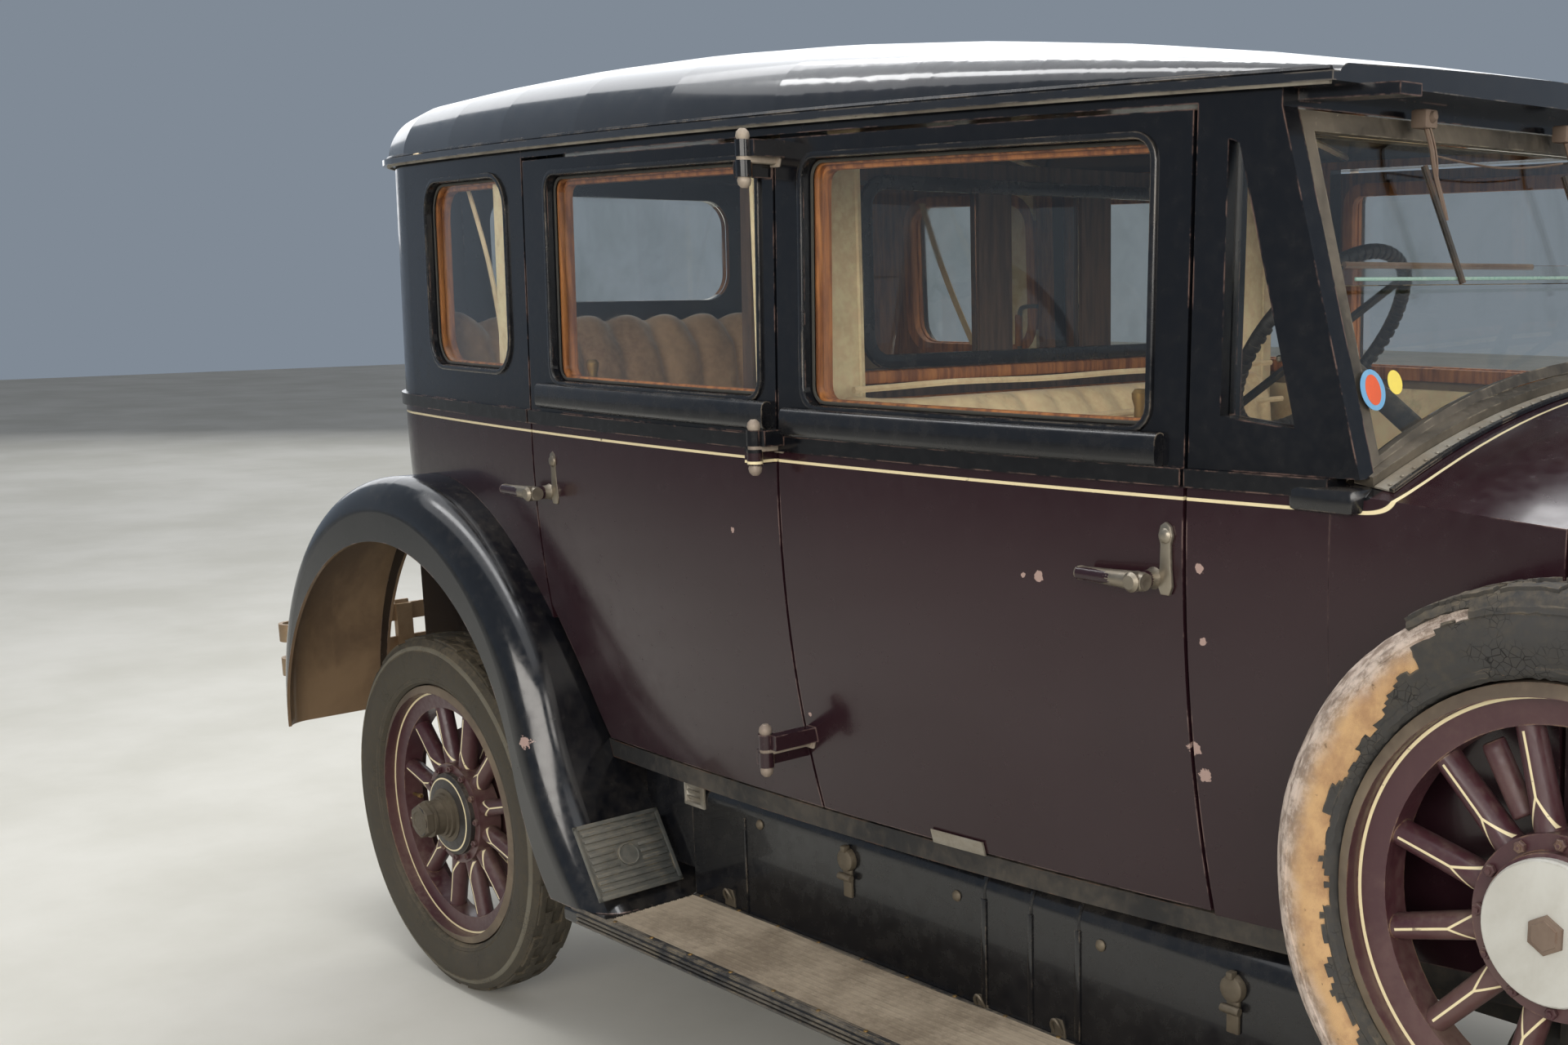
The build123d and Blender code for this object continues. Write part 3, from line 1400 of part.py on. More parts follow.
# Seats: closed solids of base, cushion and back
rear_seat_half = 590
front_seat_half = 628
seat_clear = 6
rear_seat_points = (
    (400, sill_z), (430, 960), (440, 1070), (-90, 1100), (-150, 1545), (-190, 1568), (-300, 1560),
    (-335, sill_z + 200), (-335, sill_z),
)
front_seat_points = (
    (1740, sill_z), (1760, 900), (1770, 1040), (1380, 1020), (1315, 1400), (1290, 1440), (1225, 1445),
    (1205, 1400), (1215, sill_z),
)
with BuildPart() as rear_seat:
    with BuildSketch(side_plane(-rear_seat_half)):
        with BuildLine():
            Polyline(*rear_seat_points, close=True)
        make_face()
    extrude(amount=-2 * rear_seat_half)
    with BuildSketch(Plane.XY.offset(sill_z)):
        add(plan(sill_inset + wall + seat_clear))
    extrude(amount=rail_edge_z, mode=Mode.INTERSECT)
save(rear_seat, "rear_seat")
with BuildPart() as front_seat:
    with BuildSketch(side_plane(-front_seat_half)):
        with BuildLine():
            Polyline(*front_seat_points, close=True)
        make_face()
    extrude(amount=-2 * front_seat_half)
save(front_seat, "front_seat")

# Division behind the front seat: a panel to seat height and a glazed frame over it
division_station = 1165
division_sheet = 26
division_points = ((660, sill_z), (708, waist_z), (735, belt_z), (722, rail_edge_z - 30))
division_windows = ((-432, 488), (0, 200), (432, 488))
division_low_z = 1452
division_high_z = 1790
with BuildPart() as division:
    with BuildSketch(cross_plane(rear_axle_x + division_station)):
        with BuildLine():
            Polyline(*division_points, *[(-y, z) for y, z in reversed(division_points)], close=True)
        make_face()
        for y, width in division_windows:
            with Locations((y, (division_low_z + division_high_z) / 2)):
                Rectangle(width, division_high_z - division_low_z, mode=Mode.SUBTRACT)
    extrude(amount=division_sheet)
save(division, "division")
with BuildPart() as division_glass:
    with BuildSketch(cross_plane(rear_axle_x + division_station + division_sheet / 2)):
        for y, width in division_windows:
            with Locations((y, (division_low_z + division_high_z) / 2)):
                Rectangle(width - 2 * seam, division_high_z - division_low_z - 2 * seam)
    extrude(amount=pane)
save(division_glass, "division_glass")

dash_station = 2300
dash_low_z = 1220
dash_high_z = 1350
dash_sheet = 30
with BuildPart() as dashboard:
    with BuildSketch(Plane.XY.offset(dash_low_z)):
        add(plan(inset_at(dash_low_z) + wall + 4 * seam))
        with Locations((rear_axle_x + dash_station, 0)):
            Rectangle(dash_sheet, through, mode=Mode.INTERSECT)
    extrude(amount=dash_high_z - dash_low_z)
save(dashboard, "dashboard")

# Steering: a fixed column and the wheel on its slope
steering_radius = 215
steering_grip = 13
steering_spokes = 4
gearbox_x = 1022
steer_centre = (rear_axle_x + steering_station, steering_y, steering_z)
steer_place = Location(steer_centre, (0, 90 + column_angle, 0))
shaft_radius = 9
with BuildPart() as steering_column:
    with Locations(steer_place):
        with Locations((0, 0, 60 + column_length / 2)):
            Cylinder(column_radius, column_length)
            Cylinder(shaft_radius + spindle_fit, 2 * column_length, mode=Mode.SUBTRACT)
    with Locations((gearbox_x, steering_y - 6, rail_top_z + 20)):
        Box(110, 60, 130)
save(steering_column, "steering_column")
with BuildPart() as steering_wheel:
    with Locations(steer_place):
        Torus(steering_radius, steering_grip)
        Cylinder(32, 36)
        with Locations((0, 0, 90)):
            Cylinder(shaft_radius, 160)
        for number in range(steering_spokes):
            with Locations(Location((0, 0, 0), (0, 0, 45 + number * 360 / steering_spokes))):
                with Locations((steering_radius / 2, 0, 0)):
                    Box(steering_radius, 18, 9)
save(steering_wheel, "steering_wheel")
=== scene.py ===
"""Looks of a 1920s limousine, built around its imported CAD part: finishes for the solids, and the detailed pieces."""
import json
import math
import random
from functools import partial

import bpy
from mathutils import Matrix, Vector

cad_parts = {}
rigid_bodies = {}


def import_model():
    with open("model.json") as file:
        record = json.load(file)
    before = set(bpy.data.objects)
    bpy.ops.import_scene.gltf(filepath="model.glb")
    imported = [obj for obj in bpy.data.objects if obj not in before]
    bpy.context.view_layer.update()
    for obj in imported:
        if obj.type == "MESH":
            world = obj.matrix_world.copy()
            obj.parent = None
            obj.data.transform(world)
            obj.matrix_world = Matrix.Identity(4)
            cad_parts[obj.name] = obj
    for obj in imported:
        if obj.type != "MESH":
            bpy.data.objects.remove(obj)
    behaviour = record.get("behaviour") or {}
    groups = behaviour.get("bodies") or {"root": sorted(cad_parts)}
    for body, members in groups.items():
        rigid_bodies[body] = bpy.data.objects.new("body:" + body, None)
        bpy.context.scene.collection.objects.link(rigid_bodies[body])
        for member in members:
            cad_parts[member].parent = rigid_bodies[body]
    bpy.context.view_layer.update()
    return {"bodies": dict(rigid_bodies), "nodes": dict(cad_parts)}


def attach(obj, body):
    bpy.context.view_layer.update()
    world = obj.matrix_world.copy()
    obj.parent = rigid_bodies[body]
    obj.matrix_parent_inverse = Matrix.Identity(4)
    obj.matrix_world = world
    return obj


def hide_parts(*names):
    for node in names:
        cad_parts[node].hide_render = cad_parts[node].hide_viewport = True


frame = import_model()
nodes = frame["nodes"]

# Stations of the car along X, in metres, as in the part's source
rear_axle_x = -1.7415
front_axle_x = 1.9415
axle_z = 0.415
wheel_y = 0.711
spare_middle = (1.0405, 0.75, 0.864)
belt_z = 1.35
arch_z = 0.42


# Tools of the bench

def paint(red, green, blue):
    """A colour of 0 to 255 a channel, as the eye names it, as Blender's linear colour."""
    linear = [((c / 255 + 0.055) / 1.055) ** 2.4 if c > 10 else c / 255 / 12.92 for c in (red, green, blue)]
    return (*linear, 1.0)


def only(piece):
    """Makes one piece the selected and active one."""
    if bpy.context.object and bpy.context.object.mode != "OBJECT":
        leave_edit()
    bpy.ops.object.select_all(action="DESELECT")
    piece.select_set(True)
    bpy.context.view_layer.objects.active = piece


def start(name):
    """Names the primitive just added."""
    piece = bpy.context.object
    piece.name = name
    piece.data.name = name
    return piece


def settle():
    """Puts the active piece's place, turn and scale in its mesh."""
    bpy.ops.object.transform_apply(location=True, rotation=True, scale=True)


def edit_all():
    """Goes into edit mode with everything selected."""
    bpy.ops.object.mode_set(mode="EDIT")
    bpy.ops.mesh.select_all(action="SELECT")


def leave_edit():
    bpy.ops.object.mode_set(mode="OBJECT")


def push(way):
    """Extrudes what is selected along a way."""
    bpy.ops.mesh.extrude_region_move(TRANSFORM_OT_translate={"value": way})


def pick(piece, kind, test):
    """Selects in edit mode the faces, edges or points whose middle, and normal for a face, pass a test."""
    bpy.ops.object.mode_set(mode="EDIT")
    bpy.ops.mesh.select_all(action="DESELECT")
    bpy.ops.mesh.select_mode(type={"faces": "FACE", "edges": "EDGE", "points": "VERT"}[kind])
    leave_edit()
    mesh = piece.data
    if kind == "faces":
        for face in mesh.polygons:
            face.select = test(face.center, face.normal)
    elif kind == "edges":
        for edge in mesh.edges:
            ends = [mesh.vertices[v].co for v in edge.vertices]
            edge.select = test((ends[0] + ends[1]) / 2, ends[1] - ends[0])
    else:
        for point in mesh.vertices:
            point.select = test(point.co)
    bpy.ops.object.mode_set(mode="EDIT")


def rest(piece, smooth=35):
    """Leaves edit mode, puts the piece's place in its mesh and smooths its shallow edges."""
    only(piece)
    settle()
    if smooth:
        bpy.ops.object.shade_smooth_by_angle(angle=math.radians(smooth))
    return piece


def face_out(piece):
    """Merges doubled points and turns all the faces outwards."""
    only(piece)
    edit_all()
    bpy.ops.mesh.remove_doubles(threshold=0.00001)
    bpy.ops.mesh.normals_make_consistent(inside=False)
    leave_edit()
    return piece


def cube(name, low, high):
    """A cube primitive at its size and place."""
    bpy.ops.object.select_all(action="DESELECT")
    low, high = Vector(low), Vector(high)
    bpy.ops.mesh.primitive_cube_add(size=1, location=(low + high) / 2)
    piece = start(name)
    piece.scale = high - low
    only(piece)
    settle()
    return piece


def block(name, low, high, bevel):
    """A cube with rounded edges."""
    piece = cube(name, low, high)
    edit_all()
    bpy.ops.mesh.bevel(offset=bevel, segments=2, affect="EDGES", clamp_overlap=True)
    return rest(piece)


def turned(name, profile, middle=(0, 0, 0), axis="Z", sides=48, joined=False, smooth=35):
    """Turns a profile of (radius, height) round an axis: a circle, extruded and resized step by step.
    axis may be X, Y, Z, their minus, or a direction."""
    bpy.ops.object.select_all(action="DESELECT")
    bpy.ops.mesh.primitive_circle_add(vertices=sides, radius=1, fill_type="NOTHING")
    piece = start(name)
    edit_all()
    first, height = profile[0]
    bpy.ops.transform.resize(value=(first, first, 1), center_override=(0, 0, 0))
    bpy.ops.transform.translate(value=(0, 0, height))
    if not joined and first > 1e-5:
        bpy.ops.mesh.edge_face_add()
        bpy.ops.mesh.select_mode(type="EDGE")
    radius = first
    for wide, tall in profile[1:]:
        bpy.ops.mesh.extrude_edges_move()
        bpy.ops.transform.translate(value=(0, 0, tall - height))
        share = wide / radius
        bpy.ops.transform.resize(value=(share, share, 1), center_override=(0, 0, 0))
        radius, height = wide, tall
    if not joined and radius > 1e-5:
        bpy.ops.mesh.edge_face_add()
    leave_edit()
    return rest(face_out(aim(piece, axis, middle)), smooth)


def aim(piece, axis, middle):
    """Turns a piece made along Z to an axis and moves it to its place."""
    ways = {"X": (1, 0, 0), "Y": (0, 1, 0), "Z": (0, 0, 1), "-X": (-1, 0, 0), "-Y": (0, -1, 0), "-Z": (0, 0, -1)}
    way = Vector(ways.get(axis, axis) if isinstance(axis, str) else axis).normalized()
    piece.rotation_mode = "QUATERNION"
    piece.rotation_quaternion = Vector((0, 0, 1)).rotation_difference(way)
    piece.location = middle
    only(piece)
    settle()
    return piece


def rod(name, points, radius, sides, round_off=True):
    """A rod, wire or roll bent along points: a path curve with a round section, made a mesh."""
    bpy.ops.object.select_all(action="DESELECT")
    bpy.ops.curve.primitive_nurbs_path_add(location=(0, 0, 0))
    piece = start(name)
    curve = piece.data
    curve.splines.clear()
    line = curve.splines.new("NURBS" if round_off else "POLY")
    line.points.add(len(points) - 1)
    for knot, point in zip(line.points, points):
        knot.co = (*point[:3], 1)
        knot.radius = point[3] if len(point) > 3 else 1
    if round_off:
        line.order_u = 3
        line.use_endpoint_u = True
    curve.dimensions = "3D"
    curve.resolution_u = 6
    curve.bevel_depth = radius
    curve.bevel_resolution = max(0, sides // 4 - 1)
    curve.use_fill_caps = True
    only(piece)
    bpy.ops.object.convert(target="MESH")
    piece = bpy.context.object
    return rest(face_out(piece), 40)


def filled(name, outline):
    """An outline of points as one face."""
    bpy.ops.object.select_all(action="DESELECT")
    bpy.ops.mesh.primitive_circle_add(vertices=len(outline), radius=1, fill_type="NGON")
    piece = start(name)
    for point, place in zip(piece.data.vertices, outline):
        point.co = place
    return piece


def plate(name, outline, thick, way, bevel=0.0, smooth=35):
    """A flat plate: an outline filled, pushed out by its thickness along a way."""
    piece = filled(name, outline)
    edit_all()
    push(Vector(way).normalized() * thick)
    bpy.ops.mesh.select_all(action="SELECT")
    bpy.ops.mesh.normals_make_consistent(inside=False)
    if bevel:
        bpy.ops.mesh.bevel(offset=bevel, segments=2, affect="EDGES", clamp_overlap=True)
    return rest(piece, smooth)


def copy_of(piece, name, change):
    """A copy with its own mesh, moved by a matrix."""
    twin = piece.copy()
    twin.data = piece.data.copy()
    twin.name = name
    twin.data.name = name
    bpy.context.scene.collection.objects.link(twin)
    twin.data.transform(change)
    if change.determinant() < 0:
        twin.data.flip_normals()
    return twin


def move(x=0.0, y=0.0, z=0.0):
    return Matrix.Translation((x, y, z))


def turn(degrees, axis):
    return Matrix.Rotation(math.radians(degrees), 4, axis)


def flip(way):
    """Nothing for the left side, 1; a mirroring to the other side for the right one, -1."""
    return Matrix.Scale(way, 4, (0, 1, 0))


hands = (("left", 1), ("right", -1))
wheel_places = [(end, x, *hand) for end, x in (("rear", rear_axle_x), ("front", front_axle_x)) for hand in hands]


def scattered(piece, name, changes):
    """Copies of a small piece, one for each matrix, as one; the small piece itself goes."""
    copies = [copy_of(piece, name, change) for change in changes]
    bpy.data.objects.remove(piece)
    return joined(name, copies)


def joined(name, pieces):
    """Several pieces as one."""
    bpy.ops.object.select_all(action="DESELECT")
    for piece in pieces:
        piece.select_set(True)
    bpy.context.view_layer.objects.active = pieces[0]
    bpy.ops.object.join()
    whole = bpy.context.object
    whole.name = name
    whole.data.name = name
    return whole


def modify(piece, kind, **values):
    """Adds a modifier and applies it."""
    only(piece)
    modifier = piece.modifiers.new("shape", kind)
    for key, value in values.items():
        setattr(modifier, key, value)
    bpy.ops.object.modifier_apply(modifier=modifier.name)
    return piece


def fit(piece, finish, body="chassis", stands_for=()):
    """Gives a piece its finish and body, and hides the solids that it replaces."""
    piece.data.materials.clear()
    piece.data.materials.append(finish)
    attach(piece, body)
    if stands_for:
        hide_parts(*stands_for)
    return piece


def both_sides(piece, name, finish, bodies=("chassis", "chassis")):
    """A piece, or pieces to join, modelled on the left, and the mirror copy on the right."""
    if isinstance(piece, list):
        piece = joined(name, piece)
    twin = copy_of(piece, name + "_right", flip(-1))
    piece.name = name + "_left"
    piece.data.name = piece.name
    fit(piece, finish, bodies[0])
    fit(twin, finish, bodies[1])
    return piece, twin


# Shader groups: wear, soil, grain and weave

def node(tree, kind, values=None, **settings):
    """Adds a shader node with its settings and socket values; a value may be another node's output."""
    made = tree.nodes.new("ShaderNode" + kind)
    for key, value in settings.items():
        setattr(made, key, value)
    for key, value in (values or {}).items():
        if isinstance(value, bpy.types.NodeSocket):
            tree.links.new(value, made.inputs[key])
        else:
            made.inputs[key].default_value = value
    return made


def tree_of(values):
    """The tree that the first socket among some values is in."""
    return next(value.id_data for value in values if isinstance(value, bpy.types.NodeSocket))


def wire(value, shader, key):
    """Links a value to an input of a shader."""
    shader.id_data.links.new(value, shader.inputs[key])


def math_node(operation, *values, clamp=False):
    made = node(tree_of(values), "Math", dict(enumerate(values)), operation=operation, use_clamp=clamp)
    return made.outputs[0]


times, plus, minus, times_plus, larger, is_more, is_less, size_of = (partial(math_node, operation)
    for operation in ("MULTIPLY", "ADD", "SUBTRACT", "MULTIPLY_ADD", "MAXIMUM", "GREATER_THAN", "LESS_THAN",
    "ABSOLUTE"))


def parts_of(vector):
    """The X, Y and Z of a vector."""
    return node(vector.id_data, "SeparateXYZ", {0: vector}).outputs


def step_mask(value, low, high, out_low=0.0, out_high=1.0):
    """A value spread smoothly from one range to another and clamped."""
    made = node(value.id_data, "MapRange", {"Value": value, "From Min": low, "From Max": high, "To Min": out_low,
        "To Max": out_high}, interpolation_type="SMOOTHSTEP")
    return made.outputs[0]


def mix(share, first, second):
    """One colour mixed into another."""
    tree = tree_of((share, first, second))
    made = node(tree, "Mix", None, data_type="RGBA")
    for index, value in ((0, share), (6, first), (7, second)):
        if isinstance(value, bpy.types.NodeSocket):
            tree.links.new(value, made.inputs[index])
        else:
            made.inputs[index].default_value = value
    return made.outputs[2]


def noise(place, scale, detail=4.0, rough=0.55, twist=0.0):
    made = node(place.id_data, "TexNoise", {"Vector": place, "Scale": scale, "Detail": detail, "Roughness": rough,
        "Distortion": twist})
    return made.outputs[0]


def shader_group(name, takes, gives):
    """A node group with named inputs and outputs."""
    tree = bpy.data.node_groups.new(name, "ShaderNodeTree")
    for label, kind, value in takes:
        socket = tree.interface.new_socket(label, in_out="INPUT", socket_type="NodeSocket" + kind)
        if value is not None:
            socket.default_value = value
    for label, kind in gives:
        tree.interface.new_socket(label, in_out="OUTPUT", socket_type="NodeSocket" + kind)
    return tree, tree.nodes.new("NodeGroupInput").outputs, tree.nodes.new("NodeGroupOutput")


def make_wear():
    """Faded, scratched, chipped and dusty paint or metal."""
    tree, take, give = shader_group("wear", [("Vector", "Vector", None), ("Finish", "Color", (0.1, 0.1, 0.1, 1)),
        ("Faded", "Color", (0.2, 0.2, 0.2, 1)), ("Bare", "Color", (0.4, 0.35, 0.3, 1)),
        ("Dust", "Color", (0.5, 0.45, 0.4, 1)), ("Fading", "Float", 0.5), ("Chips", "Float", 0.3),
        ("Edges", "Float", 0.4), ("Dusty", "Float", 0.2), ("Smooth", "Float", 0.25), ("Rough", "Float", 0.6),
        ("Size", "Float", 1.0)], [("Color", "Color"), ("Roughness", "Float"), ("Height", "Float"), ("Worn", "Float")])
    place = node(tree, "VectorMath", {0: take["Vector"], "Scale": take["Size"]}, operation="SCALE").outputs[0]
    cloud = noise(place, 1.7, 5, 0.6, 0.4)
    fine = noise(place, 34, 6, 0.65)
    streak_place = node(tree, "Mapping", {"Vector": place, "Scale": (1.0, 1.0, 0.18)}).outputs[0]
    streak = noise(streak_place, 16, 4, 0.6)
    faded = times(step_mask(cloud, 0.38, 0.68), take["Fading"])
    faded = times_plus(step_mask(streak, 0.5, 0.8), times(take["Fading"], 0.35), faded, clamp=True)
    colour = mix(faded, take["Finish"], take["Faded"])
    # chips come in clusters, ragged at their edges
    cluster = step_mask(noise(place, 2.3, 3, 0.5), 0.52, 0.66)
    spots = noise(place, 23, 5, 0.62, 0.6)
    chip_level = times_plus(take["Chips"], -0.13, 0.8)
    chips = times(is_more(spots, chip_level), cluster)
    # worn edges: where the rounded normal turns away from the true one
    round_normal = node(tree, "Bevel", {"Radius": 0.004}, samples=4).outputs[0]
    true_normal = node(tree, "NewGeometry").outputs["Normal"]
    turned_away = node(tree, "VectorMath", {0: round_normal, 1: true_normal}, operation="DOT_PRODUCT").outputs[1]
    edge = step_mask(turned_away, 0.985, 0.86)
    rubbed = times(edge, step_mask(noise(place, 9, 6, 0.7), 0.47, 0.6))
    rubbed = times(rubbed, take["Edges"], clamp=True)
    worn = larger(chips, rubbed, clamp=True)
    colour = mix(worn, colour, take["Bare"])
    # dust lies on what faces up
    up = parts_of(node(tree, "TexCoord").outputs["Normal"])[2]
    lying = times_plus(step_mask(up, 0.2, 0.95), 0.75, 0.25)
    dusty = times(lying, step_mask(times_plus(cloud, 0.5, times(fine, 0.5)), 0.4, 0.66))
    dusty = times(dusty, take["Dusty"], clamp=True)
    colour = mix(dusty, colour, take["Dust"])
    rough = node(tree, "MapRange", {"Value": fine, "From Min": 0.3, "From Max": 0.72, "To Min": take["Smooth"],
        "To Max": take["Rough"]}).outputs[0]
    rough = larger(rough, times(larger(worn, dusty), 0.75))
    height = times_plus(worn, -0.6, times(fine, 0.25))
    for key, value in (("Color", colour), ("Roughness", rough), ("Height", height), ("Worn", worn)):
        wire(value, give, key)
    return tree


def make_weave():
    """A plain weave of two threads crossing, with a soft nap."""
    tree, take, give = shader_group("weave", [("Vector", "Vector", None), ("Thread", "Float", 0.0012),
        ("Nap", "Float", 0.5)], [("Height", "Float"), ("Nap", "Float")])
    parts = parts_of(take["Vector"])
    turns = math_node("DIVIDE", 6.2832, take["Thread"])
    along = math_node("SINE", times(plus(parts[0], parts[2]), turns))
    across = math_node("SINE", times(minus(parts[1], times(parts[2], 0.6)), turns))
    cloth = times(along, across)
    nap = noise(take["Vector"], 55, 5, 0.6)
    wire(plus(times(cloth, 0.35), times(nap, take["Nap"])), give, "Height")
    wire(nap, give, "Nap")
    return tree


def make_wood():
    """Long grain along the piece with rings and pores."""
    tree, take, give = shader_group("wood", [("Vector", "Vector", None), ("Light", "Color", (0.5, 0.3, 0.1, 1)),
        ("Dark", "Color", (0.2, 0.08, 0.02, 1)), ("Stretch", "Vector", None)],
        [("Color", "Color"), ("Height", "Float")])
    place = node(tree, "VectorMath", {0: take["Vector"], 1: take["Stretch"]}, operation="MULTIPLY").outputs[0]
    bands = noise(place, 60, 6, 0.6, 0.3)
    pores = noise(place, 260, 3, 0.7)
    share = step_mask(bands, 0.35, 0.68)
    colour = mix(share, take["Light"], take["Dark"])
    soil = step_mask(noise(take["Vector"], 7, 5, 0.6), 0.55, 0.75, 0.0, 0.55)
    colour = mix(soil, colour, take["Dark"])
    wire(colour, give, "Color")
    wire(plus(bands, times(pores, 0.4)), give, "Height")
    return tree


wear, weave, wood = make_wear(), make_weave(), make_wood()


def finish(name, **plain):
    """A new material: its tree, shader and object coordinates; plain values go straight on the shader."""
    material = bpy.data.materials.new(name)
    material.use_nodes = True
    tree = material.node_tree
    shader = tree.nodes["Principled BSDF"]
    for key, value in plain.items():
        shader.inputs[key.replace("_", " ")].default_value = value
    place = node(tree, "TexCoord").outputs["Object"]
    return material, tree, shader, place


def use_group(group, **values):
    """Puts a group in the tree of the sockets that it takes."""
    tree = tree_of(values.values())
    made = node(tree, "Group")
    made.node_tree = group
    for key, value in values.items():
        if isinstance(value, bpy.types.NodeSocket):
            tree.links.new(value, made.inputs[key])
        else:
            made.inputs[key].default_value = value
    return made.outputs


def bumped(shader, height, strength=0.3, deep=0.001):
    tree = shader.id_data
    bump = node(tree, "Bump", {"Height": height, "Strength": strength, "Distance": deep})
    wire(bump.outputs[0], shader, "Normal")


dust_tone = paint(150, 138, 120)


def wear_of(place, colour, faded, bare, fading, chips, edges, dusty, smooth, rough, size, dust=dust_tone):
    """The outputs of the wear group with these settings."""
    return use_group(wear, Vector=place, Finish=colour, Faded=faded, Bare=bare, Dust=dust, Fading=fading, Chips=chips,
        Edges=edges, Dusty=dusty, Smooth=smooth, Rough=rough, Size=size)


def worn_finish(name, colour, faded, bare, fading, chips, edges, dusty, smooth, rough, size=1.0, bump=0.25, **plain):
    """A painted or metal finish with the wear group."""
    material, _, shader, place = finish(name, **plain)
    out = wear_of(place, colour, faded, bare, fading, chips, edges, dusty, smooth, rough, size)
    wire(out["Color"], shader, "Base Color")
    wire(out["Roughness"], shader, "Roughness")
    bumped(shader, out["Height"], bump)
    return material


# Finishes

burgundy = paint(38, 20, 26)
burgundy_faded = paint(47, 28, 34)
black = paint(12, 13, 17)
black_faded = paint(24, 26, 31)
undercoat = paint(158, 134, 126)
bare_steel = paint(150, 136, 118)
cream = paint(226, 212, 172)


def chipped(place, colour, spots, tone):
    """Bares a tone at known spots, each X, Z and radius, on the right side of the car; noise breaks up their edges."""
    x, y, z = parts_of(place)
    ragged = times_plus(noise(place, 70, 5, 0.7), 1.7, -0.85)
    mask = 0.0
    for spot_x, spot_z, radius in spots:
        across = minus(x, spot_x)
        along = minus(z, spot_z)
        reach = math_node("SQRT", plus(times(across, across), times(along, along)))
        near = times_plus(reach, -1.0 / radius, 1.0)
        mask = larger(mask, plus(near, ragged))
    shown = times(step_mask(mask, 0.5, 0.56), is_more(times(y, -1), 0.6))
    reached = is_more(mask, 0.0)
    return mix(times(shown, reached), colour, tone)


body_chips = ((-0.54, 1.19, 0.01), (0.169, 1.186, 0.016), (0.139, 1.185, 0.008), (0.431, 0.961, 0.02),
    (0.447, 0.921, 0.018), (0.455, 1.123, 0.011), (0.451, 1.225, 0.013), (-0.387, 0.882, 0.009))
fender_chips = ((-1.642, 1.024, 0.018), (-1.408, 0.838, 0.026), (-1.38, 0.785, 0.024), (-1.356, 0.733, 0.03),
    (-1.33, 0.68, 0.026), (-1.305, 0.62, 0.026), (-1.175, 0.71, 0.024), (-1.845, 0.811, 0.018))


# Where the black meets the burgundy, and where the cream line runs: height along the side, X up the pillar
black_z, black_x = belt_z - 0.0135, 0.706
line_z, line_x = 1.3205, 0.742


def body_finish():
    """The body sides: burgundy below the belt, black above, a cream line between, and cloth and wood inside."""
    material, tree, shader, place = finish("body_paint", Coat_Roughness=0.1, Specular_IOR_Level=0.32)
    x, y, z = parts_of(place)
    lower = wear_of(place, burgundy, burgundy_faded, undercoat, 0.25, 0.12, 0.55, 0.015, 0.16, 0.3, 1.0)
    upper = wear_of(place, black, black_faded, paint(150, 120, 108), 0.35, 0.14, 0.6, 0.04, 0.12, 0.3, 1.3)
    over = minus(z, black_z)
    behind = minus(black_x, x)
    is_upper = is_more(math_node("SMOOTH_MIN", over, behind, 0.02), 0)
    line_over = minus(z, line_z)
    line_behind = minus(line_x, x)
    line_place = math_node("SMOOTH_MIN", line_over, line_behind, 0.07)
    on_line = step_mask(size_of(line_place), 0.0027, 0.0019)
    flaked = step_mask(noise(place, 30, 5, 0.7), 0.66, 0.7, 1.0, 0.35)
    on_line = times(on_line, flaked)
    colour = mix(is_upper, lower["Color"], upper["Color"])
    colour = mix(on_line, colour, cream)
    colour = chipped(place, colour, body_chips, undercoat)
    rough = mix(is_upper, lower["Roughness"], upper["Roughness"])
    height = mix(is_upper, lower["Height"], upper["Height"])
    # what faces inwards is trimmed with cloth below the glass and stained wood round it
    side = math_node("SIGN", y)
    facing = parts_of(node(tree, "TexCoord").outputs["Normal"])[1]
    inward = is_more(times(times(side, facing), -1.0), 0.6)
    inward = times(inward, is_more(z, 0.705))
    cloth = mix(step_mask(noise(place, 5, 5, 0.6), 0.35, 0.7), paint(150, 132, 108), paint(112, 94, 74))
    timber = use_group(wood, Vector=place, Light=paint(140, 92, 52), Dark=paint(84, 50, 28), Stretch=(1.0, 1.0, 0.12))
    inside = mix(is_more(z, 1.4), cloth, timber["Color"])
    colour = mix(inward, colour, inside)
    rough = mix(inward, rough, (0.8, 0.8, 0.8, 1))
    wire(colour, shader, "Base Color")
    wire(rough, shader, "Roughness")
    wire(times_plus(inward, -0.3, 0.3, clamp=True), shader, "Coat Weight")
    bumped(shader, height, 0.16)
    return material


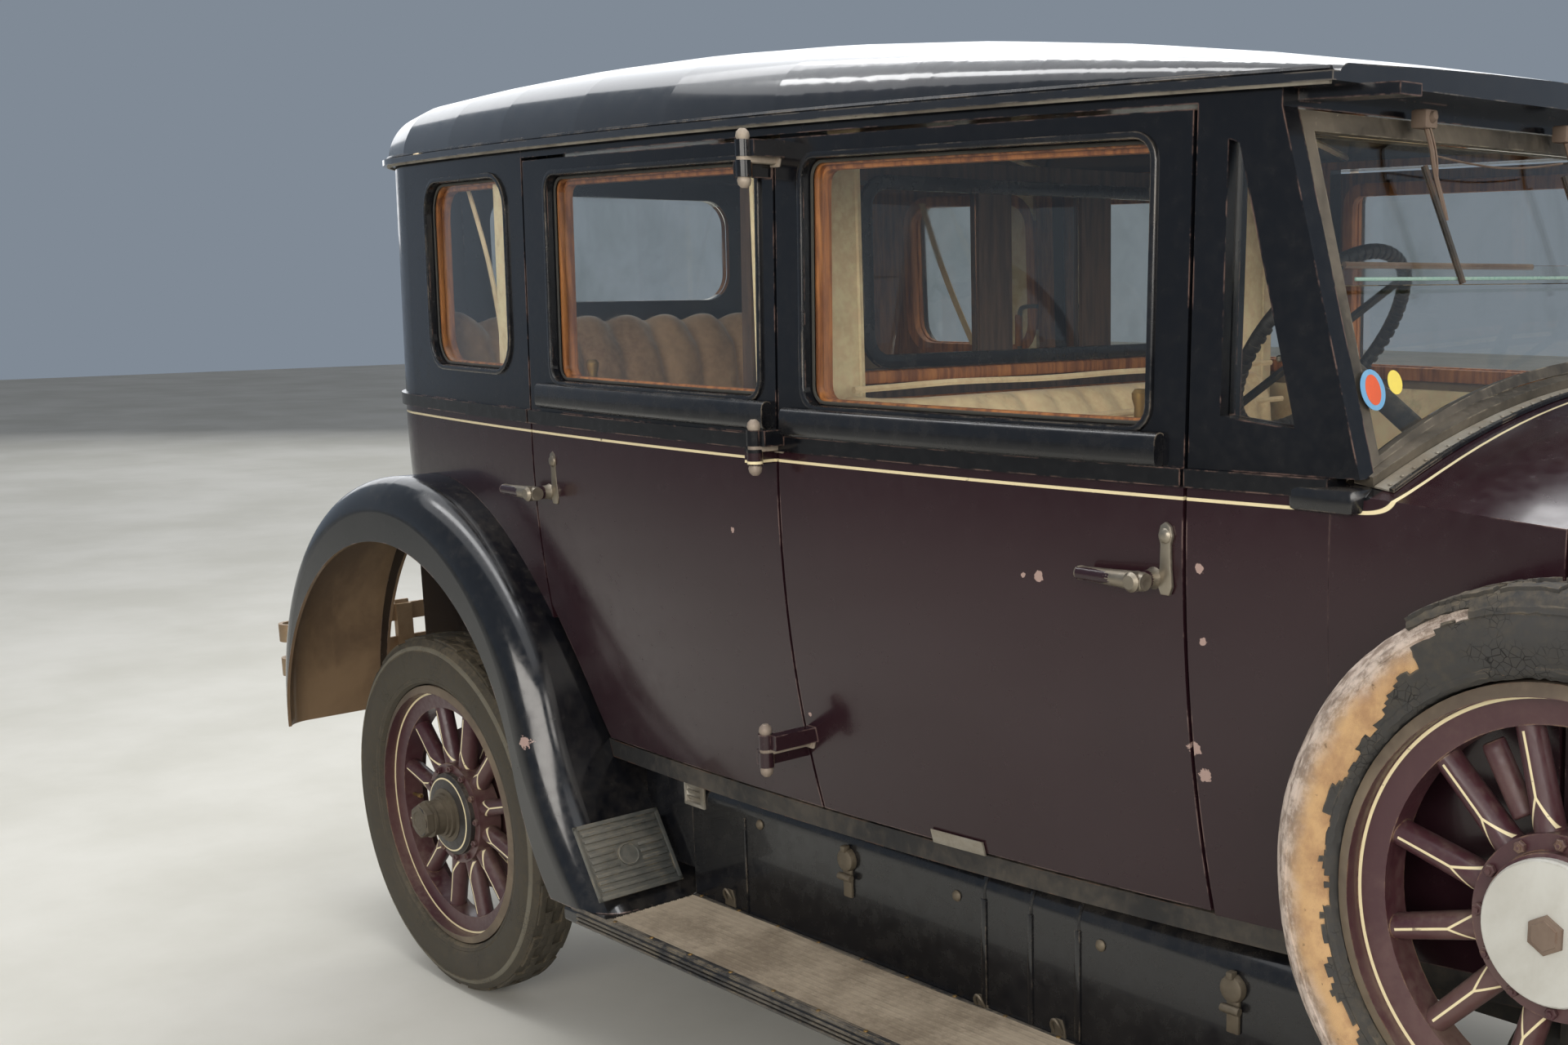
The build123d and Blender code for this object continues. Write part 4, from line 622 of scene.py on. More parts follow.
def fender_finish(name, middle):
    """Black enamel outside; underneath, where the shell faces the wheel, mud and rust."""
    material, tree, shader, place = finish(name, Coat_Weight=0.35, Coat_Roughness=0.1)
    top = wear_of(place, black, black_faded, undercoat, 0.3, 0.34, 0.8, 0.08, 0.1, 0.3, 1.15)
    mud = wear_of(place, paint(96, 76, 56), paint(126, 102, 76), paint(94, 56, 34), 1.0, 0.9, 0.4, 0.6, 0.8, 0.98, 2.0,
        paint(136, 118, 94))
    away = node(tree, "VectorMath", {0: place, 1: middle}, operation="SUBTRACT").outputs[0]
    away = node(tree, "VectorMath", {0: away, 1: (1.0, 0.0, 1.0)}, operation="MULTIPLY").outputs[0]
    normal = node(tree, "TexCoord").outputs["Normal"]
    facing = node(tree, "VectorMath", {0: node(tree, "VectorMath", {0: away}, operation="NORMALIZE").outputs[0],
        1: normal}, operation="DOT_PRODUCT").outputs[1]
    under = is_less(facing, -0.25)
    side = math_node("SIGN", parts_of(place)[1])
    inward = is_less(times(side, parts_of(normal)[1]), -0.6)
    under = larger(under, inward)
    enamel = chipped(place, top["Color"], fender_chips, undercoat)
    wire(mix(under, enamel, mud["Color"]), shader, "Base Color")
    wire(mix(under, top["Roughness"], mud["Roughness"]), shader, "Roughness")
    bumped(shader, mix(under, top["Height"], mud["Height"]), 0.3)
    return material


# Radii on a wheel: the cream rings, the spoke's line from hub to felloe, the steel rim and the hub flange
felloe_line, hub_line_at, spoke_line_from, spoke_line_to = 0.2795, 0.084, 0.118, 0.238
fork_at, steel_from, flange_to = 0.158, 0.2835, 0.0955


def wheel_finish(name, middle, spare=False):
    """A wooden wheel painted burgundy with cream lines: a ring on the felloe, and a line on each spoke that forks
    towards the hub. The steel rim outside the felloe is rusty, the hub flange black."""
    material, tree, shader, place = finish(name, Coat_Weight=0.2, Coat_Roughness=0.2)
    local = node(tree, "Mapping", {"Vector": place, "Location": (-middle[0], -middle[1], -middle[2])}).outputs[0]
    x, _, z = parts_of(local)
    reach = math_node("SQRT", plus(times(x, x), times(z, z)))
    angle = math_node("ARCTAN2", z, x)
    sector = math.radians(30)
    # the angle from the nearest spoke's middle
    off = minus(math_node("MODULO", plus(angle, 4 * math.pi), sector), sector / 2)
    along = times(reach, math_node("COSINE", off))
    beside = size_of(times(reach, math_node("SINE", off)))
    fork = larger(times(minus(fork_at, along), 0.42), 0)
    on_spoke = step_mask(size_of(minus(beside, fork)), 0.0021, 0.0013)
    on_spoke = times(on_spoke, times(is_more(along, spoke_line_from), is_less(along, spoke_line_to)))
    outer = is_more(times(math_node("SIGN", parts_of(place)[1]),
        parts_of(node(tree, "TexCoord").outputs["Normal"])[1]), 0.15)
    ring_line = step_mask(size_of(minus(reach, felloe_line)), 0.0026, 0.0018)
    hub_line = step_mask(size_of(minus(reach, 0.0 if spare else hub_line_at)), 0.0022, 0.0014)
    lines = larger(on_spoke, larger(ring_line, hub_line))
    lines = times(lines, outer)
    lines = times(lines, step_mask(noise(place, 40, 5, 0.7), 0.62, 0.68, 1.0, 0.3))
    coat = wear_of(place, paint(66, 36, 42), paint(86, 58, 58), paint(150, 122, 92), 0.7, 0.35, 0.7, 0.3, 0.3, 0.6,
        2.2)
    steel = wear_of(place, paint(84, 72, 60), paint(112, 98, 80), paint(92, 54, 34), 1.0, 0.9, 0.5, 0.5, 0.5, 0.85,
        2.5)
    hub = wear_of(place, paint(30, 27, 27), paint(58, 52, 48), paint(112, 98, 80), 0.8, 0.6, 0.8, 0.35, 0.35, 0.7, 3.0)
    is_rim = is_more(reach, steel_from)
    is_hub = is_less(reach, 0.02 if spare else flange_to)
    colour = mix(is_hub, mix(is_rim, coat["Color"], steel["Color"]), hub["Color"])
    colour = mix(lines, colour, cream)
    rough = mix(is_hub, mix(is_rim, coat["Roughness"], steel["Roughness"]), hub["Roughness"])
    wire(colour, shader, "Base Color")
    wire(rough, shader, "Roughness")
    bumped(shader, mix(is_rim, coat["Height"], steel["Height"]), 0.3)
    return material


def rubber_finish(name, side, tread, cracks=0.5):
    """Old tyre rubber, dusty brown, with fine cracks; it fades in patches to the second, darker tone."""
    material, tree, shader, place = finish(name)
    out = wear_of(place, side, tread, paint(150, 132, 104), 0.8, 0.2, 0.35, 0.45, 0.72, 0.95, 2.2,
        paint(142, 128, 104))
    cells = node(tree, "TexVoronoi", {"Vector": place, "Scale": 95.0}, feature="DISTANCE_TO_EDGE").outputs["Distance"]
    crack = times(step_mask(cells, 0.05, 0.01), step_mask(noise(place, 9, 4, 0.6), 0.5, 0.62))
    crack = times(crack, cracks)
    wire(mix(crack, out["Color"], paint(18, 16, 14)), shader, "Base Color")
    wire(out["Roughness"], shader, "Roughness")
    bumped(shader, minus(out["Height"], crack), 0.5, 0.0015)
    return material


def either(share, first, second, output):
    """One shader or another, by a share, as what is shown."""
    both = node(output.id_data, "MixShader", {0: share, 1: first.outputs[0], 2: second.outputs[0]})
    wire(both.outputs[0], output, "Surface")


def glass_finish():
    """Old sheet glass: clear, with a film of dust; its shadow is clear."""
    material, tree, shader, place = finish("old_glass", Transmission_Weight=1.0, IOR=1.45, Metallic=0.0)
    film = step_mask(noise(place, 3.2, 6, 0.65, 0.5), 0.45, 0.75)
    wire(mix(film, paint(248, 248, 244), paint(226, 228, 222)), shader, "Base Color")
    wire(times_plus(film, 0.05, 0.0), shader, "Roughness")
    bumped(shader, noise(place, 2.0, 2, 0.4), 0.02)
    clear = node(tree, "BsdfTransparent", {"Color": (0.93, 0.95, 0.94, 1)})
    in_shadow = node(tree, "LightPath").outputs["Is Shadow Ray"]
    either(in_shadow, shader, clear, tree.nodes["Material Output"])
    return material


def cloth_finish(name, light, dark, sheen, thread=0.0016, soil=0.5, strength=0.35, **plain):
    """Upholstery cloth: weave, nap, soiled patches."""
    material, _, shader, place = finish(name, Roughness=0.92, Sheen_Weight=sheen, Sheen_Roughness=0.45, **plain)
    out = use_group(weave, Vector=place, Thread=thread, Nap=0.6)
    patches = step_mask(noise(place, 3.5, 6, 0.62, 0.5), 0.35, 0.7)
    colour = mix(patches, light, dark)
    stains = step_mask(noise(place, 8, 6, 0.7), 0.6, 0.72, 0.0, soil)
    colour = mix(stains, colour, tuple(c * 0.5 for c in dark[:3]) + (1,))
    colour = mix(step_mask(out["Nap"], 0.35, 0.7, 0.0, 0.35), colour, tuple(min(1, c * 1.35) for c in light[:3]) + (1,
        ))
    wire(colour, shader, "Base Color")
    bumped(shader, out["Height"], strength, 0.0008)
    return material


def wood_finish(name, light, dark, stretch):
    material, _, shader, place = finish(name)
    out = use_group(wood, Vector=place, Light=light, Dark=dark, Stretch=stretch)
    wire(out["Color"], shader, "Base Color")
    wire(times_plus(out["Height"], 0.25, 0.43), shader, "Roughness")
    bumped(shader, out["Height"], 0.35, 0.0006)
    return material


def canvas_finish():
    """A tyre's bared canvas: tan on the flank, worn pale and grey over the crown."""
    material, tree, shader, place = finish("tyre_canvas", Roughness=0.95)
    out = use_group(weave, Vector=place, Thread=0.0022, Nap=0.8)
    local = node(tree, "Mapping", {"Vector": place, "Location": (-spare_middle[0], 0, -spare_middle[2])}).outputs[0]
    x, _, z = parts_of(local)
    reach = math_node("SQRT", plus(times(x, x), times(z, z)))
    streaks = node(tree, "Mapping", {"Vector": place, "Scale": (1.0, 6.0, 1.0)}).outputs[0]
    ragged = times_plus(noise(streaks, 14, 6, 0.65), 0.05, -0.025)
    worn = step_mask(plus(reach, ragged), 0.345, 0.385)
    tan = mix(step_mask(noise(place, 22, 6, 0.65), 0.35, 0.7), paint(206, 168, 122), paint(172, 134, 98))
    pale = mix(step_mask(noise(streaks, 30, 6, 0.7), 0.4, 0.62), paint(206, 190, 178), paint(140, 124, 112))
    colour = mix(worn, tan, pale)
    scars = step_mask(noise(streaks, 60, 4, 0.6), 0.66, 0.72, 0.0, 0.6)
    wire(mix(scars, colour, paint(84, 66, 50)), shader, "Base Color")
    bumped(shader, out["Height"], 0.9, 0.0012)
    return material


body_paint = body_finish()
rear_fender_paint = fender_finish("rear_fender_enamel", (rear_axle_x, 0, arch_z))
front_fender_paint = fender_finish("front_fender_enamel", (front_axle_x, 0, arch_z))
black_enamel = worn_finish("black_enamel", black, black_faded, bare_steel, 0.4, 0.2, 0.6, 0.08, 0.14, 0.36,
    Coat_Weight=0.25)
roof_skin = worn_finish("roof_leathercloth", paint(20, 21, 25), paint(34, 36, 41), paint(140, 130, 116), 0.4, 0.12,
    0.5, 0.06, 0.1, 0.2, 1.2, bump=0.05, Coat_Weight=0.9, Coat_Roughness=0.08)
chassis_black = worn_finish("chassis_black", paint(26, 25, 25), paint(52, 48, 44), paint(96, 62, 40), 0.8, 0.6, 0.7,
    0.55, 0.5, 0.85, 1.6)
engine_grey = worn_finish("engine_grey", paint(88, 90, 88), paint(112, 110, 102), paint(70, 60, 50), 0.8, 0.5, 0.6,
    0.5, 0.4, 0.8, 2.0)
nickel = worn_finish("dull_nickel", paint(150, 142, 128), paint(122, 112, 98), paint(92, 74, 56), 0.9, 0.45, 0.4, 0.3,
    0.28, 0.6, 2.5, Metallic=0.85)
bumper_nickel = worn_finish("bumper_bronzed", paint(140, 116, 90), paint(168, 146, 118), paint(96, 70, 50), 1.0, 0.5,
    0.5, 0.4, 0.35, 0.7, 2.0, Metallic=0.7)
aluminium = worn_finish("weathered_aluminium", paint(168, 164, 154), paint(136, 128, 114), paint(104, 92, 76), 1.0,
    0.7, 0.5, 0.5, 0.42, 0.8, 3.0, Metallic=0.6)
brass = worn_finish("old_brass", paint(150, 120, 70), paint(112, 88, 52), paint(84, 70, 50), 0.9, 0.5, 0.5, 0.3, 0.35,
    0.7, 3.0, Metallic=0.8)
rusty_iron = worn_finish("rusty_iron", paint(88, 72, 62), paint(112, 96, 84), paint(92, 60, 42), 1.0, 0.9, 0.6, 0.3,
    0.7, 0.95, 4.0)
old_rubber = rubber_finish("tyre_rubber", paint(62, 57, 47), paint(50, 46, 40))
mat_rubber = worn_finish("board_mat", paint(112, 100, 84), paint(142, 130, 112), paint(84, 72, 60), 1.0, 0.5, 0.4, 0.9,
    0.8, 0.97, 2.0, bump=0.5)
screen_metal = worn_finish("screen_metal", paint(60, 56, 50), paint(110, 102, 90), paint(160, 150, 132), 0.9, 0.7, 0.8,
    0.3, 0.35, 0.65, 2.5, Metallic=0.4)
glass = glass_finish()
stained_wood = wood_finish("stained_wood", paint(176, 112, 58), paint(112, 62, 30), (1.0, 1.0, 0.1))
dark_wood = wood_finish("dark_wood", paint(74, 54, 42), paint(44, 32, 26), (1.0, 1.0, 0.1))
stained_wood_flat = wood_finish("stained_wood_flat", paint(170, 106, 54), paint(108, 60, 30), (0.1, 1.0, 1.0))
rear_velvet = cloth_finish("rear_seat_velvet", paint(196, 160, 126), paint(156, 122, 94), 0.6)
front_cloth = cloth_finish("front_seat_cloth", paint(240, 212, 174), paint(208, 178, 140), 0.25)
trim_cloth = cloth_finish("pillar_trim_cloth", paint(246, 222, 184), paint(208, 182, 144), 0.2)
wheel_plastic = worn_finish("hand_wheel_black", paint(24, 22, 22), paint(46, 42, 40), paint(84, 70, 58), 0.8, 0.3, 0.5,
    0.2, 0.35, 0.65, 3.0)
hood_paint = worn_finish("hood_burgundy", burgundy, burgundy_faded, undercoat, 0.55, 0.3, 0.6, 0.15, 0.2, 0.42,
    Coat_Weight=0.3, Coat_Roughness=0.12)
spare_rubber = rubber_finish("spare_rubber", paint(54, 53, 52), paint(38, 37, 36), 1.0)

shared_finishes = (
    (body_paint, "back_panel quarter_panels rear_door_left rear_door_right front_door_left "
        "front_door_right side_frames cowl"),
    (hood_paint, "hood_sides hood_top_left hood_top_right"),
    (roof_skin, "roof"),
    (rear_fender_paint, "rear_fender_left rear_fender_right"),
    (front_fender_paint, "front_fender_left front_fender_right"),
    (black_enamel, "splash_aprons running_boards"),
    (bumper_nickel, "bumpers"),
    (chassis_black, "body_floor chassis_frame front_axle rear_axle leaf_springs knuckle_left knuckle_right "
        "tie_rod fuel_tank steering_column"),
    (engine_grey, "engine_block"),
    (nickel, "radiator lamps"),
    (glass, "lamp_lenses body_glass division_glass front_door_glass_left front_door_glass_right "
        "rear_door_glass_left rear_door_glass_right"),
    (screen_metal, "windscreen_frame"),
    (stained_wood_flat, "dashboard"),
    (dark_wood, "division"),
    (wheel_plastic, "steering_wheel"),
    (rear_velvet, "rear_seat"),
    (front_cloth, "front_seat"),
)
by_node = {name: tone for tone, names in shared_finishes for name in names.split()}
wheel_middles = {f"wheel_{end}_{hand}": (x, way * wheel_y, axle_z) for end, x, hand, way in wheel_places}
wheel_middles["spare_wheels"] = spare_middle
for wheel, middle in wheel_middles.items():
    by_node[wheel] = wheel_finish(wheel + "_paint", middle, wheel == "spare_wheels")
for name, solid in nodes.items():
    if "tyre" in name:
        by_node.setdefault(name, old_rubber)
    solid.data.materials.clear()
    solid.data.materials.append(by_node[name])
window_felt = cloth_finish("window_felt", paint(58, 56, 50), paint(38, 36, 34), 0.1)
pale_rubber = rubber_finish("tyre_shoulder", paint(104, 100, 88), paint(84, 80, 70))
tyre_canvas = canvas_finish()
spoke_paint = worn_finish("spoke_paint", paint(66, 36, 42), paint(86, 58, 58), paint(140, 118, 92), 0.7, 0.4, 0.7,
    0.35, 0.35, 0.65, 2.4)
hub_iron = worn_finish("hub_iron", paint(92, 84, 72), paint(112, 102, 86), paint(70, 60, 50), 1.0, 0.6, 0.5, 0.4, 0.45,
    0.75, 3.0, Metallic=0.5)
pale_disc = worn_finish("spare_disc_paint", paint(188, 188, 182), paint(168, 166, 158), paint(120, 112, 98), 0.8, 0.4,
    0.6, 0.3, 0.4, 0.7, 3.0)
hinge_metal = worn_finish("hinge_metal", paint(118, 104, 94), paint(160, 148, 134), paint(190, 178, 162), 1.0, 0.9,
    0.9, 0.3, 0.45, 0.8, 4.0, Metallic=0.3)
worn_white = worn_finish("worn_drip_white", paint(150, 144, 132), paint(92, 86, 78), paint(42, 40, 40), 1.0, 1.0, 0.5,
    0.5, 0.5, 0.85, 3.5)
board_metal = worn_finish("board_metal", paint(44, 44, 46), paint(86, 82, 76), paint(150, 136, 110), 1.0, 0.7, 0.9,
    0.5, 0.4, 0.75, 3.0, Metallic=0.35)
label_blue = worn_finish("label_blue", paint(96, 150, 190), paint(150, 182, 200), paint(200, 196, 184), 0.5, 0.2, 0.1,
    0.1, 0.4, 0.6, 8.0)
label_orange = worn_finish("label_orange", paint(214, 86, 40), paint(186, 80, 50), paint(90, 50, 36), 0.6, 0.3, 0.1,
    0.1, 0.4, 0.6, 9.0)
label_yellow = worn_finish("label_yellow", paint(226, 206, 84), paint(204, 186, 96), paint(150, 130, 70), 0.5, 0.2,
    0.1, 0.1, 0.4, 0.6, 9.0)
pane_edge = worn_finish("pane_edge", paint(120, 150, 140), paint(150, 170, 160), paint(90, 110, 100), 0.5, 0.2, 0.3,
    0.3, 0.2, 0.4, 4.0)
carpet_cloth = cloth_finish("carpet", paint(74, 62, 52), paint(52, 44, 38), 0.1, 0.003, 0.6, 0.8)
label_cream = worn_finish("dial_cream", paint(206, 198, 172), paint(186, 176, 148), paint(120, 104, 80), 0.6, 0.3, 0.1,
    0.2, 0.4, 0.6, 6.0)
mirror_metal = worn_finish("lamp_mirror", paint(196, 192, 182), paint(176, 168, 150), paint(120, 104, 80), 0.6, 0.3,
    0.1, 0.2, 0.1, 0.3, 4.0, Metallic=1.0)
kick_metal = worn_finish("kick_metal", paint(70, 72, 70), paint(98, 98, 92), paint(132, 122, 104), 0.9, 0.5, 0.9, 0.35,
    0.35, 0.7, 3.0, Metallic=0.3)


# The body side's curve, as in the part's source

def circle_through(first, second, third):
    (ax, ay), (bx, by), (cx, cy) = first, second, third
    d = 2 * (ax * (by - cy) + bx * (cy - ay) + cx * (ay - by))
    ux = ((ax**2 + ay**2) * (by - cy) + (bx**2 + by**2) * (cy - ay) + (cx**2 + cy**2) * (ay - by)) / d
    uy = ((ax**2 + ay**2) * (cx - bx) + (bx**2 + by**2) * (ax - cx) + (cx**2 + cy**2) * (bx - ax)) / d
    return ux, uy, math.hypot(ax - ux, ay - uy)


back_x, back_flat_half = -2.1415, 0.362
corner_x, corner_half = -1.8415, 0.705
side_x, side_y, side_radius = circle_through((corner_x, corner_half), (-0.4065, 0.795), (0.6985, 0.697))
corner_radius = ((corner_x - back_x) ** 2 + (corner_half - back_flat_half) ** 2) / (2 * (corner_x - back_x))


def half_at(x):
    """Half width of the body at its belt."""
    if x >= corner_x:
        return side_y + math.sqrt(side_radius**2 - (x - side_x) ** 2)
    return back_flat_half + math.sqrt(max(corner_radius**2 - (back_x + corner_radius - x) ** 2, 0))


def inset_at(z):
    """How far the body's side lies inside its belt line at a height."""
    if z >= belt_z:
        return 0.014 * (z - belt_z) / 0.51
    share = [(0.696, 0.075), (0.95, 0.022), (belt_z, 0.0)]
    total = 0.0
    for here, inset in share:
        part = inset
        for other, _ in share:
            if other != here:
                part *= (z - other) / (here - other)
        total += part
    return total


def face_y(x, z):
    """Where the left side's outer face is."""
    return half_at(x) - inset_at(z)


def on_side(piece):
    """Lays a piece drawn flat in X and Z, its Y outwards from the face, on the left side of the body."""
    for point in piece.data.vertices:
        point.co.y += face_y(point.co.x, point.co.z)
    return piece


def flat_bar(name, x0, x1, z0, z1, inner, outer, cuts, bevel):
    """A bar divided along its length, with rounded edges, laid on the body side."""
    piece = cube(name, (x0, inner, z0), (x1, outer, z1))
    pick(piece, "edges", lambda middle, way: abs(way.x) > 0.9 * way.length)
    bpy.ops.mesh.bevel(offset=bevel, segments=3, affect="EDGES", clamp_overlap=True)
    leave_edit()
    pick(piece, "edges", lambda middle, way: abs(way.x) > 0.9 * (x1 - x0))
    bpy.ops.mesh.subdivide(number_cuts=cuts)
    leave_edit()
    on_side(piece)
    return rest(piece, 40)


def round_rect(x0, x1, z0, z1, radius):
    """The points of a rectangle with rounded corners, in X and Z."""
    points = []
    for cx, cz, begin in ((x1 - radius, z1 - radius, 0), (x0 + radius, z1 - radius, 90),
            (x0 + radius, z0 + radius, 180), (x1 - radius, z0 + radius, 270)):
        for step in range(6):
            angle = math.radians(begin + 90 * step / 5)
            points.append((cx + radius * math.cos(angle), cz + radius * math.sin(angle)))
    return points


def hollowed(name, outline, wide, way, bevel):
    """A ring: an outline filled, inset, its middle taken out, and pushed along a way."""
    piece = filled(name, outline)
    edit_all()
    bpy.ops.mesh.inset(thickness=wide, depth=0)
    bpy.ops.mesh.delete(type="ONLY_FACE")
    bpy.ops.mesh.select_all(action="SELECT")
    push(way)
    bpy.ops.mesh.select_all(action="SELECT")
    bpy.ops.mesh.normals_make_consistent(inside=False)
    leave_edit()
    return modify(piece, "BEVEL", width=bevel, segments=2, limit_method="ANGLE")


def window_frame(name, x0, x1, z0, z1, radius, inner, outer, wide):
    """A frame round a window: a rounded outline, inset, its middle taken out, and pushed through its depth."""
    outline = []
    corners = round_rect(x0, x1, z0, z1, radius)
    for here, there in zip(corners, corners[1:] + corners[:1]):
        outline.append(here)
        if math.dist(here, there) > 0.12:
            outline += [tuple(a + (b - a) * step / 4 for a, b in zip(here, there)) for step in (1, 2, 3)]
    piece = hollowed(name, [(x, outer, z) for x, z in outline], wide, (0, inner - outer, 0), 0.0025)
    return rest(on_side(piece), 40)


# Windows of the left side: body, rear and front edge, foot and head, corner radius
side_windows = (("quarter", "chassis", -1.7115, -1.3095, 1.436, 1.812, 0.062), ("rear_door", "rear_left_door", -1.1265,
    -0.4535, 1.424, 1.806, 0.028), ("front_door", "front_left_door", -0.3335, 0.3585, 1.416, 1.803, 0.028))


def right_body(body):
    return body.replace("left", "right")


def make_windows():
    for name, body, x0, x1, z0, z1, radius in side_windows:
        bodies = (body, right_body(body))
        stop = window_frame(name + "_wood_stop", x0 + 0.0006, x1 - 0.0006, z0 + 0.0006, z1 - 0.0006, radius, -0.035,
            -0.0232, 0.0085)
        casing = window_frame(name + "_wood_casing", x0 - 0.022, x1 + 0.022, z0 - 0.022, z1 + 0.012, radius + 0.022,
            -0.056, -0.0346, 0.028)
        both_sides(joined(name + "_wood", [stop, casing]), name + "_wood", stained_wood, bodies)
        # the painted bead round the glass, and the roll under it
        bead = window_frame(name + "_bead", x0 - 0.011, x1 + 0.011, z0 - 0.011, z1 + 0.011, radius + 0.011, -0.004,
            0.0055, 0.0105)
        both_sides(bead, name + "_bead", black_enamel, bodies)
        if name != "quarter":
            roll = flat_bar(name + "_sill_roll", x0 - 0.045, x1 + 0.03, z0 - 0.054, z0 - 0.006, -0.004, 0.019, 10,
                0.013)
            both_sides(roll, name + "_sill_roll", black_enamel, bodies)
        felt = window_frame(name + "_felt", x0 + 0.0005, x1 - 0.0005, z0 + 0.0005, z1 - 0.0005, radius, -0.0168,
            -0.0135, 0.0055)
        both_sides(felt, name + "_felt", window_felt, bodies)


# Tyres

tread_rings = (0.046, 0.028, 0.0095)


def tyre_side():
    """The outer half of a tyre's section, from bead to tread, as radius and distance from the middle."""
    return [(0.3035, 0.0445), (0.309, 0.053), (0.316, 0.056), (0.319, 0.0552), (0.33, 0.06), (0.35, 0.0633),
        (0.368, 0.0624), (0.381, 0.0592), (0.383, 0.0604), (0.3905, 0.0584), (0.3925, 0.056), (0.4, 0.052),
        (0.406, tread_rings[0]), (0.408, tread_rings[1]), (0.4088, tread_rings[2])]


def closed_profile(side, shrink=0.0):
    """Both halves of a section, back to where it starts."""
    outer = [(radius - shrink, out) for radius, out in side]
    return outer + [(radius, -out) for radius, out in reversed(outer)] + [outer[0]]


def road_tyre(name):
    """A tyre turned round Y at the origin, with chunky staggered tread blocks."""
    sides = 72
    piece = turned(name, closed_profile(tyre_side()), axis="Y", sides=sides, joined=True)
    sector = 2 * math.pi / sides

    def on_tread(middle, normal):
        reach = math.hypot(middle.x, middle.z)
        if reach < 0.4035 or abs(middle.y) > 0.047:
            return False
        row = round(middle.y / 0.0185)
        number = int((math.atan2(middle.z, middle.x) + math.pi) / sector)
        return (number + (2 if row % 2 else 0) + (1 if row > 0 else 0)) % 4 != 0

    pick(piece, "faces", on_tread)
    bpy.ops.mesh.inset(thickness=0.0022, use_individual=False)
    bpy.ops.mesh.extrude_region_shrink_fatten(TRANSFORM_OT_shrink_fatten={"value": 0.0052})
    bpy.ops.mesh.inset(thickness=0.0018, depth=0.0008, use_individual=True)
    leave_edit()
    return rest(piece, 30)


def make_tyres():
    made = road_tyre("road_tyre")
    for number, (end, x, hand, side) in enumerate(wheel_places):
        name = f"{end}_{hand}"
        change = move(x, side * wheel_y, axle_z) @ turn(17.0 * number + 8, "Y") @ flip(side)
        tyre = copy_of(made, "tyre_tread_" + name, change)
        fit(tyre, old_rubber, name + "_wheel" if name + "_wheel" in frame["bodies"] else "chassis",
            ["tyre_" + name])
        tyre.data.materials.append(pale_rubber)
        for face in tyre.data.polygons:
            reach = math.hypot(face.center.x - x, face.center.z - axle_z)
            if 0.3822 < reach < 0.3922:
                face.material_index = 1
    bpy.data.objects.remove(made)


def spare_exposed(angle, reach, out):
    """How far a spot on the spare lies inside the torn part that bares the canvas; the rubber is left where this is
    below nothing. The tear takes the crown and outer side of the rear half, and ends in a tongue towards the top."""
    turned_by = math.radians(angle)
    ragged = 0.006 * math.sin(9 * turned_by + 1.3) + 0.004 * math.sin(23 * turned_by) + 0.003 * math.sin(57 * turned_by
        + 2)
    inner = 0.32 + ragged + 0.00085 * max(0.0, 150 - angle) + 0.0006 * max(0.0, angle - 200)
    around = min(angle - 122 - 400 * ragged * 0.4, 262 - angle)
    if out < -0.035:
        return -1
    if around < 0:
        tongue = 108 < angle <= 124 and 0.366 + 0.0012 * (124 - angle) + ragged * 0.5 < reach < 0.3965 and out > 0.03
        patch = 88 < angle < 101 + 300 * ragged and reach > 0.4 and -0.03 < out < 0.02
        return 1 if tongue or patch else -1
    return 1 if reach > inner else -1


